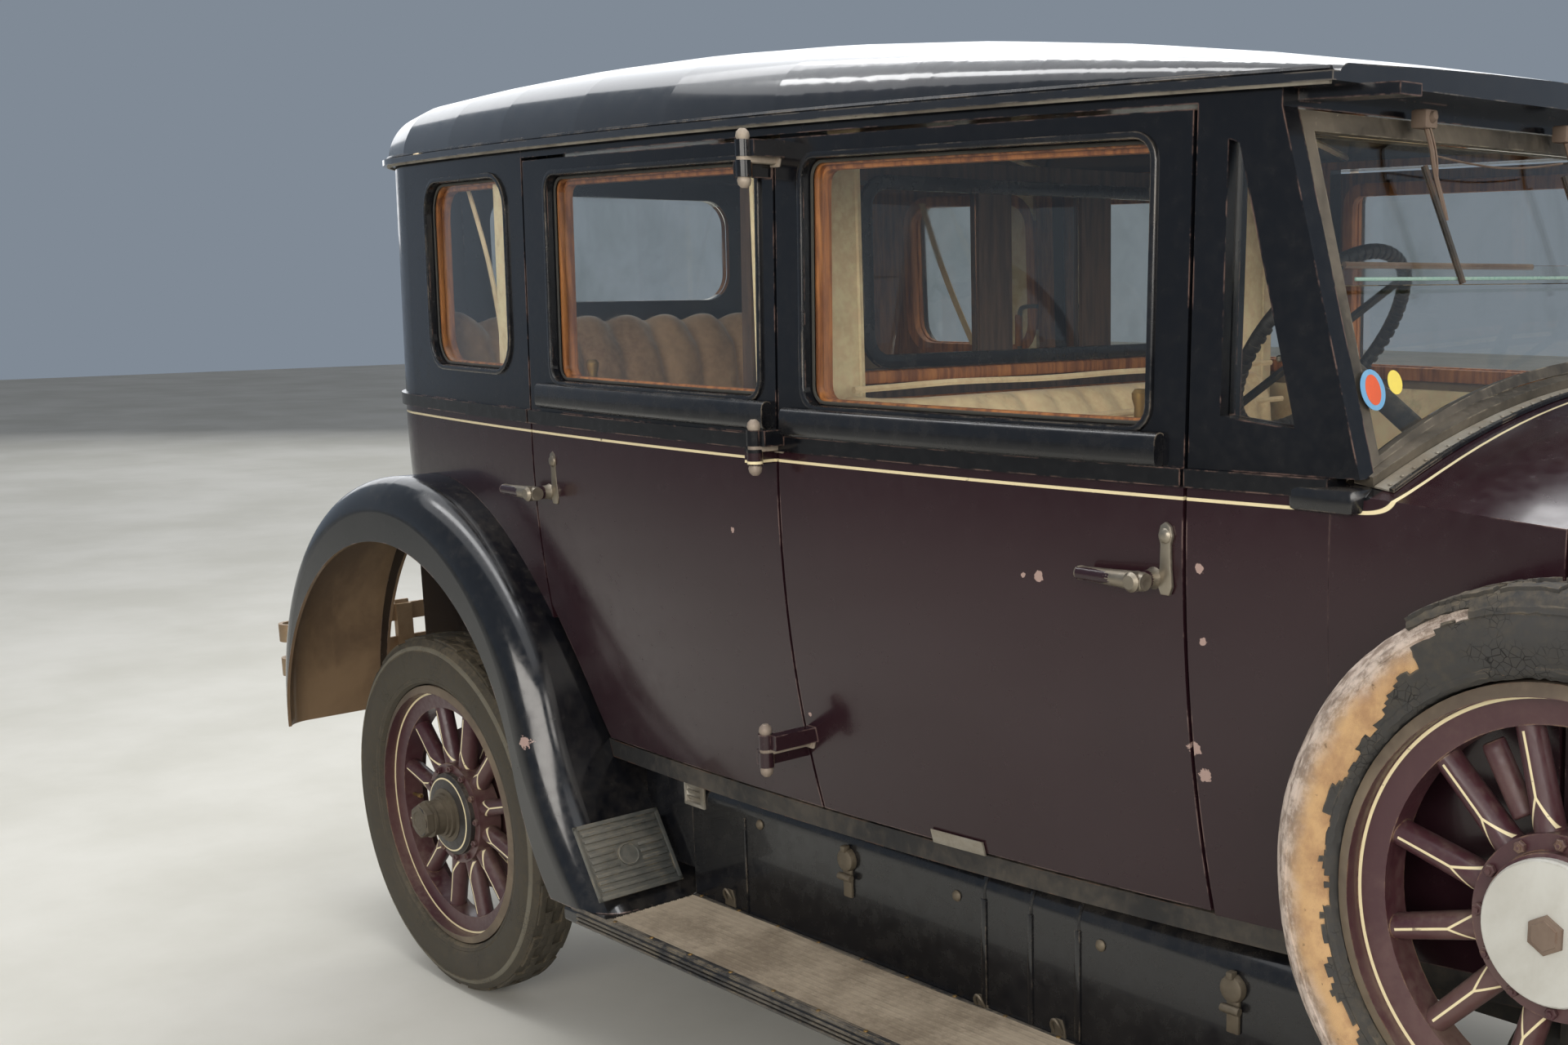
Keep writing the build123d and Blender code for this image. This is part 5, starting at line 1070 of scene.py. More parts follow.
def make_spares():
    """Both spare tyres: a cracked cover over its canvas, torn away at the rear of the right one."""
    side = tyre_side()
    dense = []
    for (r0, o0), (r1, o1) in zip(side, side[1:]):
        cuts = max(1, round(math.hypot(r1 - r0, o1 - o0) / 0.0055))
        dense += [(r0 + (r1 - r0) * step / cuts, o0 + (o1 - o0) * step / cuts) for step in range(cuts)]
    dense.append(side[-1])
    x, y, z = spare_middle
    for label, way in reversed(hands):
        chance = random.Random(20 + way)
        canvas = turned("spare_canvas_" + label, closed_profile([spot for spot in dense if spot[0] > 0.313], 0.0058),
            axis="Y", sides=144, joined=True)
        for point in canvas.data.vertices:
            angle = math.atan2(point.co.z, point.co.x)
            reach = math.hypot(point.co.x, point.co.z)
            sag = 0.0016 * math.sin(11 * angle) * math.sin(60 * point.co.y) + chance.uniform(-0.0004, 0.0004)
            share = 1 + sag / reach
            point.co.x *= share
            point.co.z *= share
            point.co.y *= 0.94 if abs(point.co.y) > 0.03 else 1
        cover = turned("spare_cover_" + label, closed_profile(dense), axis="Y", sides=240, joined=True)
        torn = way < 0

        def bare(middle, normal):
            angle = math.degrees(math.atan2(middle.z, middle.x)) % 360
            return spare_exposed(angle, math.hypot(middle.x, middle.z), middle.y) > 0

        if torn:
            pick(cover, "faces", bare)
            bpy.ops.mesh.delete(type="FACE")
            leave_edit()
            modify(cover, "SOLIDIFY", thickness=0.0045, offset=-1.0, use_rim=True)
            for point in cover.data.vertices:
                point.co.x += chance.uniform(-0.0012, 0.0012)
                point.co.z += chance.uniform(-0.0012, 0.0012)
        sector = 2 * math.pi / 60

        def crown(middle, normal):
            reach = math.hypot(middle.x, middle.z)
            outward = normal.x * middle.x + normal.z * middle.z > 0.5 * reach
            number = (math.atan2(middle.z, middle.x) + math.pi) / sector
            gap = 0.16 + 0.05 * math.sin(number * 3.1)
            row = abs(middle.y)
            return outward and reach > 0.4035 and number % 1 > gap and not 0.0125 < row < 0.017 and row < 0.043

        pick(cover, "faces", crown)
        bpy.ops.mesh.extrude_region_shrink_fatten(TRANSFORM_OT_shrink_fatten={"value": 0.005})
        leave_edit()
        for piece, paint_of, slot, stands in ((canvas, tyre_canvas, None, ()), (cover, spare_rubber, "tyre_rubber",
                ["spare_tyre_" + label])):
            piece.data.transform(move(x, way * y, z) @ flip(way))
            if way < 0:
                piece.data.flip_normals()
            rest(piece, 30)
            fit(piece, paint_of, "chassis", stands)


# Wheels: hubs, bolts, valves

def make_wheel_fittings():
    bolt = turned("wheel_bolt", [(0.0072, 0.0), (0.0072, 0.001), (0.0082, 0.0012), (0.0082, 0.0062), (0.007, 0.0076),
        (0.0042, 0.0078), (0.004, 0.0105), (0.002, 0.0108)], (0.105, 0, 0.0), "Z", 6, smooth=20)
    barrel = turned("rear_hub_barrel", [(0.062, 0.044), (0.062, 0.0475), (0.0515, 0.049), (0.0512, 0.056),
        (0.0455, 0.0575), (0.045, 0.064), (0.0402, 0.0655), (0.0398, 0.084), (0.0425, 0.086), (0.0425, 0.0915),
        (0.037, 0.093)], sides=48)
    cap = turned("rear_hub_cap", [(0.04, 0.0925), (0.041, 0.0945), (0.0405, 0.1085), (0.036, 0.1125), (0.024, 0.1135),
        (0.023, 0.1125), (0.01, 0.1125)], sides=6, smooth=20)
    front = turned("front_hub_cap", [(0.06, 0.043), (0.06, 0.046), (0.049, 0.0475), (0.048, 0.056), (0.043, 0.0635),
        (0.0415, 0.076), (0.037, 0.083), (0.024, 0.085), (0.023, 0.084), (0.01, 0.084)], sides=48)
    bolts = scattered(bolt, "wheel_bolts", [move(z=0.0262) @ turn(30 * n, "Z") for n in range(12)])
    valve = rod("valve", [(0.247, 0, 0.0), (0.232, 0, 0.0), (0.214, 0, 0.0)], 0.0042, 8)
    valve_cap = turned("valve_cap", [(0.0052, 0.0), (0.0056, 0.002), (0.0056, 0.012), (0.004, 0.0145)], (0.222, 0, 0),
        "-X", 10)
    valve = joined("valve", [valve, valve_cap])
    stand = turn(-90, "X")
    for end, x, hand, way in wheel_places:
        body = f"{end}_{hand}_wheel"
        place = move(x, way * wheel_y, axle_z) @ flip(way)
        if end == "rear":
            fit(copy_of(barrel, "hub_barrel_" + body, place @ stand), hub_iron, body)
        fit(copy_of(cap if end == "rear" else front, "hub_cap_" + body, place @ stand), hub_iron, body)
        fit(copy_of(bolts, "bolts_" + body, place @ stand), spoke_paint, body)
        fit(copy_of(valve, "valve_" + body, place @ turn(178, "Y")), brass, body)
    sx, sy, sz = spare_middle
    disc = turned("spare_disc", [(0.09, 0.0362), (0.0905, 0.048), (0.088, 0.0512), (0.05, 0.053), (0.026, 0.0532)],
        sides=64)
    boss = turned("spare_boss", [(0.0255, 0.0528), (0.025, 0.0575), (0.0195, 0.059), (0.0185, 0.0605),
        (0.008, 0.0612)], sides=6, smooth=20)
    peg = rod("spare_peg", [(0.235, 0.004, 0.0), (0.16, 0.004, 0.0), (0.135, 0.004, 0.0)], 0.0165, 16)
    modify(peg, "SUBSURF", levels=1, render_levels=1)
    for hand, way in hands:
        place = move(sx, way * sy, sz) @ flip(way)
        fit(copy_of(disc, "spare_disc_" + hand, place @ stand), pale_disc)
        fit(copy_of(boss, "spare_boss_" + hand, place @ stand), rusty_iron)
        fit(copy_of(bolts, "spare_bolts_" + hand, place @ stand), spoke_paint)
        fit(copy_of(peg, "spare_peg_" + hand, move(sx, way * (sy - 0.004), sz) @ turn(-120, "Y")), spoke_paint)
    for piece in (bolts, barrel, cap, front, valve, disc, boss, peg):
        bpy.data.objects.remove(piece)


# Door handles, keyholes and hinges

def make_door_fittings():
    for name, x in (("rear", -1.1645), ("front", 0.3765)):
        face = face_y(x, 1.205)
        boss_x = x + 0.022
        outline = [(boss_x + px, face - 0.003, 1.235 + pz) for px, pz in ((-0.008, -0.052), (0.008, -0.052),
            (0.013, -0.04), (0.01, -0.01), (0.009, 0.02), (0.013, 0.032), (0.009, 0.046), (0.0, 0.052),
            (-0.009, 0.046), (-0.013, 0.032), (-0.009, 0.02), (-0.01, -0.01), (-0.013, -0.04))]
        scutcheon = plate(name + "_scutcheon", outline, 0.0065, (0, 1, 0), 0.0018)
        flap = turned(name + "_key_flap", [(0.0105, 0.0), (0.011, 0.0015), (0.0085, 0.004), (0.003, 0.0052)],
            (boss_x, face + 0.003, 1.267), "Y", 20)
        boss = turned(name + "_boss", [(0.015, -0.002), (0.016, 0.001), (0.0135, 0.006), (0.0125, 0.03),
            (0.0145, 0.034), (0.0145, 0.05), (0.01, 0.055)], (x, face, 1.205), "Y", 24)
        lever = turned(name + "_lever", [(0.0125, -0.016), (0.014, -0.01), (0.0135, 0.01), (0.0115, 0.06),
            (0.01, 0.098), (0.0108, 0.108), (0.0092, 0.114), (0.004, 0.117)], (x, face + 0.036, 1.205), "-X", 20)
        handle = joined(name + "_handle", [scutcheon, flap, boss, lever])
        both_sides(handle, name + "_handle", nickel, (name + "_left_door", name + "_right_door"))
    knuckle_z = (0.83, 1.345, 1.805)
    barrels = []
    for z in knuckle_z:
        barrels.append(turned("knuckle", [(0.005, -0.046), (0.01, -0.041), (0.0115, -0.034), (0.0098, -0.029),
            (0.0098, -0.009), (0.0112, -0.008), (0.0112, 0.008), (0.0098, 0.009), (0.0098, 0.029), (0.0115, 0.034),
            (0.01, 0.041), (0.005, 0.046)], (-0.4065, 0.842, z), "Z", 20))
    arms = []
    for z in knuckle_z:
        near = face_y(-0.4065, z)
        arm = block("arm", (-0.4185, near - 0.004, z - 0.0075), (-0.3945, 0.846, z + 0.0075), 0.004)
        arms.append(arm)
        foot = plate("foot", [(-0.4065 + px, near - 0.002, z + pz) for px, pz in ((-0.016, -0.012), (0.016, -0.012),
            (0.02, 0.0), (0.016, 0.012), (-0.016, 0.012), (-0.02, 0.0))], 0.005, (0, 1, 0), 0.0015)
        arms.append(foot)
    both_sides(barrels + arms, "pillar_hinges", hinge_metal)


# The roof's worn drip edge with its tacks

def roof_path(out, z):
    """Points round the roof edge from the left front, round the back, to the right front."""
    front = 0.632
    points = []
    for step in range(15):
        x = front - (front - corner_x) * step / 14
        points.append((x, face_y(x, 1.86) + out, z))
    for step in range(1, 8):
        angle = math.radians(80 * step / 7)
        x = corner_x - (corner_x - back_x) * math.sin(angle) ** 1.15
        x = max(x, back_x + 0.002)
        points.append((x - out * math.sin(angle), half_at(x) - 0.014 + out * math.cos(angle), z))
    points.append((back_x - out, 0.3, z))
    return points + [(x, -y, z) for x, y, z in reversed(points)]


def make_drip_edge():
    path = roof_path(0.0135, 1.8615)
    edge = rod("drip_edge", path, 0.0052, 8)
    fit(edge, worn_white)
    upper = rod("roof_welt", roof_path(0.0125, 1.8755), 0.0048, 8)
    fit(upper, black_enamel)
    tack = turned("tack", [(0.0036, 0.0), (0.0032, 0.0012), (0.0016, 0.002)], sides=7)
    places = [move(x, side * (face_y(x, 1.86) + 0.0125), 1.8685) @ turn(-90 * side, "X")
        for x in [0.6 - 0.047 * n for n in range(52)] for side in (1, -1)]
    fit(scattered(tack, "roof_tacks", places), worn_white)


# The cowl's aluminium band under the windscreen, its welt and rivets

# The height that the strips are dropped from
drop_z = 1.7


def lay_on(piece, node_name, lift, thick):
    """Drops a flat strip onto a solid, takes away its points that missed, and gives it thickness."""
    modify(piece, "SHRINKWRAP", target=nodes[node_name], wrap_method="PROJECT", use_project_z=True,
        use_project_x=False, use_project_y=False, use_negative_direction=True, use_positive_direction=False,
        offset=lift)
    pick(piece, "points", lambda co: co.z > drop_z - 0.1)
    bpy.ops.mesh.delete(type="VERT")
    leave_edit()
    modify(piece, "SOLIDIFY", thickness=thick, offset=1.0)
    return rest(piece, 40)


def grid_strip(name, x0, x1, y0, y1, z, across, along):
    bpy.ops.object.select_all(action="DESELECT")
    bpy.ops.mesh.primitive_grid_add(x_subdivisions=along, y_subdivisions=across, size=1,
        location=((x0 + x1) / 2, (y0 + y1) / 2, z))
    piece = start(name)
    piece.scale = (x1 - x0, y1 - y0, 1)
    only(piece)
    settle()
    return piece


def make_cowl_band():
    band = lay_on(grid_strip("cowl_band", 0.693, 0.716, -0.672, 0.672, drop_z, 60, 3), "cowl", 0.0012, 0.0022)
    fit(band, aluminium)
    sill = lay_on(grid_strip("screen_sill", 0.662, 0.692, -0.672, 0.672, drop_z, 60, 5), "cowl", 0.001, 0.015)
    fit(sill, screen_metal)
    for hand, side in hands:
        y0, y1 = sorted((side * 0.6, side * 0.722))
        shoe = block("pillar_shoe_" + hand, (0.59, y0, 1.318), (0.694, y1, 1.352), 0.008)
        fit(shoe, black_enamel)
    welt = lay_on(grid_strip("cowl_welt", 0.7165, 0.7235, -0.672, 0.672, drop_z, 60, 2), "cowl", 0.0012, 0.005)
    fit(welt, black_enamel)
    rivet = turned("rivet", [(0.0034, 0.0), (0.003, 0.0014), (0.0013, 0.0022)], sides=7)
    places = [move(0.7095, y, cowl_top(0.709, y) + 0.0035) for y in [-0.66 + 0.0275 * n for n in range(49)]]
    fit(scattered(rivet, "band_rivets", places), aluminium)


def cowl_top(x, y):
    """The height of the cowl's top."""
    found, place, _, _ = nodes["cowl"].ray_cast(Vector((x, y, 2.0)), Vector((0, 0, -1)))
    return place.z if found else 1.345


# Running boards: ribbed mats, metal edges and the fender's kick plates

def make_boards():
    x0, x1, y0, y1, top = -0.905, 0.87, 0.662, 0.858, 0.3999
    mat = grid_strip("board_mat", x0, x1, y0, y1, top + 0.0022, 79, 24)
    for point in mat.data.vertices:
        row = round((point.co.y - y0) / (y1 - y0) * 79)
        point.co.z += (0.0022 if row % 2 else 0.0) + 0.0006 * math.sin(9 * point.co.x + row)
    modify(mat, "SOLIDIFY", thickness=0.002, offset=-1.0)
    rest(mat, 0)
    both_sides(mat, "board_mat", mat_rubber)
    outer = rod("board_edge", [(x0 - 0.12, 0.866, top), (x0, 0.866, top), (x1 + 0.02, 0.866, top)], 0.0042, 8)
    strips = [outer]
    for y, z, wide in ((0.8595, top + 0.0035, 0.011), (0.6605, top + 0.0035, 0.01)):
        strips.append(block("board_strip", (x0 - 0.004, y - wide / 2, top), (x1 + 0.004, y + wide / 2, z + 0.001),
            0.0012))
    for z in (0.3925, 0.3845, 0.3765):
        strips.append(block("board_bead", (x0 - 0.1, 0.8685, z - 0.0022), (x1 + 0.02, 0.8735, z + 0.0022), 0.0015))
    both_sides(strips, "board_edges", board_metal)
    screw = turned("board_screw", [(0.0045, 0.0), (0.0042, 0.001), (0.0022, 0.0016)], sides=10)
    places = [move(x0 + 0.02 + 0.124 * n, y, top + 0.0045) for n in range(15) for y in (0.8595, 0.6605)]
    both_sides(scattered(screw, "board_screws", places), "board_screws", brass)


def make_kick_plates():
    """The ribbed plate at the foot of the rear fender, with a bare round medallion."""
    wide, tall = 0.192, 0.158
    frame_bar = 0.009
    base = block("kick_base", (-wide / 2, -tall / 2, 0), (wide / 2, tall / 2, 0.0025), 0.001)
    parts = [base]
    x, y = wide / 2, tall / 2
    for x0, y0, x1, y1 in ((-x, -y, x, -y + frame_bar), (-x, y - frame_bar, x, y), (-x, -y, -x + frame_bar, y),
            (x - frame_bar, -y, x, y)):
        parts.append(block("kick_border", (x0, y0, 0.002), (x1, y1, 0.0055), 0.0014))
    for n in range(9):
        y = -0.058 + 0.0145 * n
        past_medallion = ((0.026, 0.084), (-0.084, -0.026))
        for x0, x1 in past_medallion if abs(y) < 0.022 else ((-0.084, 0.084),):
            parts.append(block("kick_rib", (x0, y - 0.0038, 0.002), (x1, y + 0.0038, 0.0058), 0.0016))
    parts.append(turned("kick_medallion", [(0.023, 0.002), (0.0232, 0.0055), (0.0205, 0.0062), (0.0195, 0.0048),
        (0.01, 0.005), (0.004, 0.0056)], sides=40))
    piece = joined("kick_plate", parts)
    # the fender's front slope, from its bend down to its foot
    slope = Vector((0.232, 0, -0.365)).normalized()
    across = Vector((0, -1, 0))
    out = Vector((0.365, 0, 0.232)).normalized()
    middle = Vector((rear_axle_x + 0.7635, 0.766, 0.4955)) + out * 0.0015
    place = Matrix(((across.x, -slope.x, out.x, middle.x), (across.y, -slope.y, out.y, middle.y),
        (across.z, -slope.z, out.z, middle.z), (0, 0, 0, 1)))
    piece.data.transform(place)
    face_out(piece)
    rest(piece, 35)
    both_sides(piece, "kick_plate", kick_metal)
    infill = block("apron_infill", (-1.075, 0.6475, 0.455), (-0.905, 0.6525, 0.668), 0.002)
    both_sides(infill, "apron_infill", black_enamel)


# The splash aprons: their beads, screws, catches, loops, louvre and blank plates

apron_y = 0.6547


def make_apron():
    parts = []
    for x, wide in ((-0.7365, 0.006), (-0.0706, 0.013), (0.0392, 0.011), (0.1459, 0.013)):
        parts.append(block("seam_bead", (x - wide / 2, apron_y - 0.002, 0.405), (x + wide / 2, apron_y + 0.0035,
            0.598), 0.0024))
        if wide > 0.01:
            roll = [(x, apron_y + 0.0005, 0.598), (x, apron_y - 0.002, 0.63), (x, apron_y - 0.022, 0.6515),
                (x, apron_y - 0.048, 0.6545)]
            parts.append(rod("seam_roll", roll, 0.0042, 8))
    both_sides(parts, "apron_beads", black_enamel)
    fittings = []
    for x, z in ((-0.6879, 0.5944), (-0.1372, 0.5862), (0.1956, 0.5848)):
        fittings.append(turned("apron_screw", [(0.0098, -0.001), (0.01, 0.0018), (0.0072, 0.005), (0.003, 0.0062)],
            (x, apron_y, z), "Y", 20))
    for x, z in ((-0.7933, 0.4293), (-0.078, 0.4135), (0.1034, 0.4234)):
        fittings.append(plate("loop_foot", [(x + px, apron_y - 0.001, z - 0.012 + pz) for px, pz in ((-0.017, -0.012),
            (0.017, -0.012), (0.015, 0.004), (0.008, 0.022), (-0.008, 0.022), (-0.015, 0.004))], 0.004, (0, 1, 0),
            0.001))
        fittings.append(rod("loop", [(x - 0.01, apron_y + 0.002, z - 0.014), (x - 0.011, apron_y + 0.01, z + 0.002),
            (x, apron_y + 0.013, z + 0.016), (x + 0.011, apron_y + 0.01, z + 0.002),
            (x + 0.01, apron_y + 0.002, z - 0.014)], 0.003, 8))
    both_sides(fittings, "apron_screws", hub_iron)
    catches = []
    for x, z in ((-0.4243, 0.566), (0.4649, 0.5706)):
        catches.append(turned("catch_cup", [(0.0215, -0.001), (0.0225, 0.003), (0.02, 0.011), (0.017, 0.0125),
            (0.008, 0.013)], (x, apron_y, z + 0.02), "Y", 28))
        catches.append(block("catch_tail", (x - 0.012, apron_y - 0.001, z - 0.052),
            (x + 0.012, apron_y + 0.006, z + 0.004), 0.003))
        catches.append(turned("catch_pin", [(0.0062, -0.017), (0.0068, -0.014), (0.0068, 0.014), (0.0062, 0.017)],
            (x, apron_y + 0.01, z - 0.012), "X", 16))
        catches.append(block("catch_ear", (x - 0.006, apron_y + 0.002, z + 0.036),
            (x + 0.006, apron_y + 0.016, z + 0.048), 0.002))
    both_sides(catches, "apron_catches", hub_iron)
    x, z = -0.8969, 0.6173
    shell = [block("louvre_frame", (x - 0.034, apron_y - 0.001, z - 0.03), (x + 0.034, apron_y + 0.005, z + 0.03),
        0.002)]
    only(shell[0])
    pick(shell[0], "faces", lambda middle, normal: normal.y > 0.9 and middle.y > apron_y + 0.004)
    bpy.ops.mesh.inset(thickness=0.009, depth=0)
    push((0, -0.003, 0))
    leave_edit()
    for n in range(3):
        low = z - 0.017 + 0.0125 * n
        shell.append(plate("louvre_blade", [(x - 0.022, apron_y + 0.0015, low), (x + 0.022, apron_y + 0.0015, low),
            (x + 0.022, apron_y + 0.0055, low + 0.0085), (x - 0.022, apron_y + 0.0055, low + 0.0085)], 0.0012,
            (0, 0.7, -0.3)))
    both_sides(shell, "apron_louvre", aluminium)
    sill = flat_bar("name_plate", -0.128, -0.012, 0.6975, 0.7225, 0.0, 0.0035, 4, 0.0012)
    for point in sill.data.vertices:
        point.co.y += 0.0015
    both_sides(sill, "blank_plate", aluminium)


# Windscreen: wipers, wire, demister bar and plain round labels

screen_foot = Vector((0.6885, 0.0, 1.363))
screen_up = Vector((-0.132, 0.0, 0.472)).normalized()
screen_out = Vector((0.472, 0.0, 0.132)).normalized()


def on_screen(y, z, lift=0.0):
    """A point of the sloping windscreen at a height, lifted off its outer face."""
    along = (z - screen_foot.z) / screen_up.z
    return Vector((0, y, 0)) + screen_foot + screen_up * along + screen_out * (0.014 + lift)


def make_screen_fittings():
    iron = []
    for y in (-0.414, -0.021):
        top = on_screen(y, 1.826, 0.01)
        iron.append(block("wiper_box", top - Vector((0.012, 0.016, 0.012)), top + Vector((0.014, 0.016, 0.014)),
            0.004))
        iron.append(turned("wiper_knob", [(0.0085, -0.002), (0.009, 0.004), (0.006, 0.012), (0.0025, 0.014)],
            top + screen_out * 0.008, screen_out, 16))
        elbow = on_screen(y - 0.006, 1.758, 0.014)
        iron.append(rod("wiper_arm", [top, on_screen(y - 0.002, 1.79, 0.016), elbow, on_screen(y + 0.004, 1.72, 0.011),
            on_screen(y + 0.01, 1.69, 0.008)], 0.0036, 8))
        iron.append(rod("wiper_spring", [top + screen_out * 0.006, on_screen(y + 0.006, 1.78, 0.02),
            on_screen(y - 0.004, 1.748, 0.016)], 0.0016, 6))
    fit(joined("wiper_arms", iron), rusty_iron)
    blades = []
    for y in (-0.414, -0.021):
        blades.append(rod("wiper_blade", [on_screen(y - 0.014, 1.765, 0.006), on_screen(y + 0.006, 1.69, 0.006),
            on_screen(y + 0.026, 1.605, 0.006)], 0.0042, 8))
        blades.append(rod("wiper_rubber", [on_screen(y - 0.013, 1.765, 0.001), on_screen(y + 0.007, 1.69, 0.001),
            on_screen(y + 0.027, 1.605, 0.001)], 0.0022, 6))
    fit(joined("wiper_blades", blades), chassis_black)
    cable = rod("wiper_wire", [on_screen(-0.414, 1.778, 0.012), on_screen(-0.3, 1.77, 0.006),
        on_screen(-0.16, 1.7695, 0.006), on_screen(-0.0447, 1.7815, 0.012)], 0.0015, 6)
    fit(cable, rusty_iron)
    inside = -0.035
    bar = rod("screen_bar", [on_screen(-0.612, 1.64, inside), on_screen(-0.12, 1.638, inside)], 0.005, 10, False)
    fit(bar, rusty_iron)
    lap = block("pane_edge", (0, -0.637, -0.0025), (0.004, 0.637, 0.0025), 0.001)
    lap.data.transform(Matrix.Translation(on_screen(0, 1.614, -0.004)))
    fit(rest(lap, 30), pane_edge)
    for name, y, z, radii, tones in (("label_large", -0.6335, 1.4735, (0.0275, 0.0205), (label_blue, label_orange)),
            ("label_small", -0.579, 1.481, (0.0165,), (label_yellow,))):
        for number, (radius, tone) in enumerate(zip(radii, tones)):
            disc = turned(f"{name}_{number}", [(radius, 0.0), (radius, 0.0005),
                (radius * 0.5, 0.0007 + 0.0001 * number)], on_screen(y, z, -0.0115 + 0.0006 * number), screen_out, 40)
            if number:
                for point in disc.data.vertices:
                    point.co.y = y + (point.co.y - y) * 0.82
            fit(disc, tone)


# Bumpers: clamps and bolts

def make_bumper_fittings():
    bolts = []
    head = turned("bumper_bolt", [(0.0125, 0.0), (0.013, 0.002), (0.011, 0.0065), (0.005, 0.009)], sides=16)
    for x, heights, ys, way in ((2.6985, (0.6, 0.51), (-0.37, 0.37, 0.0), "X"),
            (-2.6985, (0.716, 0.626), (-0.37, 0.37), "-X")):
        for y in ys:
            bow = 0.052 * (y / 0.7) ** 2
            end = math.copysign(1, x)
            at_x = x - end * bow
            for z in heights:
                bolts.append(aim(copy_of(head, "bolt", Matrix.Identity(4)), way, (at_x - end * 0.004, y, z)))
            low_x, high_x = sorted((at_x - end * 0.004, at_x + end * 0.002))
            bolts.append(block("clamp", (low_x, y - 0.02, min(heights) - 0.034),
                (high_x, y + 0.02, max(heights) + 0.034), 0.003))
    bpy.data.objects.remove(head)
    fit(joined("bumper_clamps", bolts), bumper_nickel)


# Seats: padded with a cloth simulation, their pipes sewn in after it

def swell(piece, pressure, cap, voxel):
    """Blows a closed shape up as stuffed cloth: voxel remesh, cloth under pressure, moves capped and applied."""
    modify(piece, "REMESH", mode="VOXEL", voxel_size=voxel)
    before = [point.co.copy() for point in piece.data.vertices]
    only(piece)
    cloth = piece.modifiers.new("stuffing", "CLOTH")
    cloth.settings.quality = 5
    cloth.settings.mass = 0.3
    cloth.settings.use_pressure = True
    cloth.settings.uniform_pressure_force = pressure
    cloth.settings.effector_weights.gravity = 0
    cloth.settings.tension_stiffness = 12
    cloth.settings.compression_stiffness = 12
    cloth.settings.bending_stiffness = 0.6
    last_frame = 20
    cloth.point_cache.frame_start, cloth.point_cache.frame_end = 1, last_frame
    scene = bpy.context.scene
    for frame_number in range(1, last_frame + 1):
        scene.frame_set(frame_number)
    bpy.ops.object.modifier_apply(modifier=cloth.name)
    scene.frame_set(1)
    for point, was in zip(piece.data.vertices, before):
        shift = point.co - was
        if shift.length > cap:
            point.co = was + shift.normalized() * cap
    return modify(piece, "SMOOTH", factor=0.5, iterations=4)


def sew_pipes(piece, count, y0, y1, deep, way, scallop=0.0):
    """Presses the seams between upright pipes into the side that faces a way; the pipes stay round between them."""
    way = Vector(way).normalized()
    normals = [point.normal.copy() for point in piece.data.vertices]
    top = max(point.co.z for point in piece.data.vertices)
    for point, normal in zip(piece.data.vertices, normals):
        facing = max(0.0, normal.dot(way) - 0.05)
        share = min(1.0, facing * 2.2)
        spot = (point.co.y - y0) / (y1 - y0) * count
        seam = 1 - abs(math.sin(math.pi * spot)) ** 0.55
        wrinkle = 0.0022 * math.sin(37 * point.co.z + 9 * math.sin(14 * point.co.y))
        point.co -= way * share * (deep * seam + wrinkle)
        point.co.z -= scallop * (1 - abs(math.sin(math.pi * spot)) ** 0.8) * max(0.0, 1 - (top - point.co.z) / 0.1)
    return piece


def pad(name, outline, y0, y1, cloth_paint, pipes=0, deep=0.02, way=(1, 0, 0), edge=0.03, voxel=0.013, pressure=3.5,
        cap=0.024, scallop=0.0):
    """A cushion from its side outline in X and Z, between two widths."""
    piece = plate(name, [(x, y0, z) for x, z in outline], y1 - y0, (0, 1, 0), 0, 0)
    only(piece)
    edit_all()
    bpy.ops.mesh.bevel(offset=edge, segments=3, affect="EDGES", clamp_overlap=True)
    leave_edit()
    swell(piece, pressure, cap, voxel)
    if pipes:
        sew_pipes(piece, pipes, y0 - 0.004, y1 + 0.004, deep, way, scallop)
    modify(piece, "SUBSURF", levels=1, render_levels=1)
    rest(piece, 180)
    fit(piece, cloth_paint)
    return piece


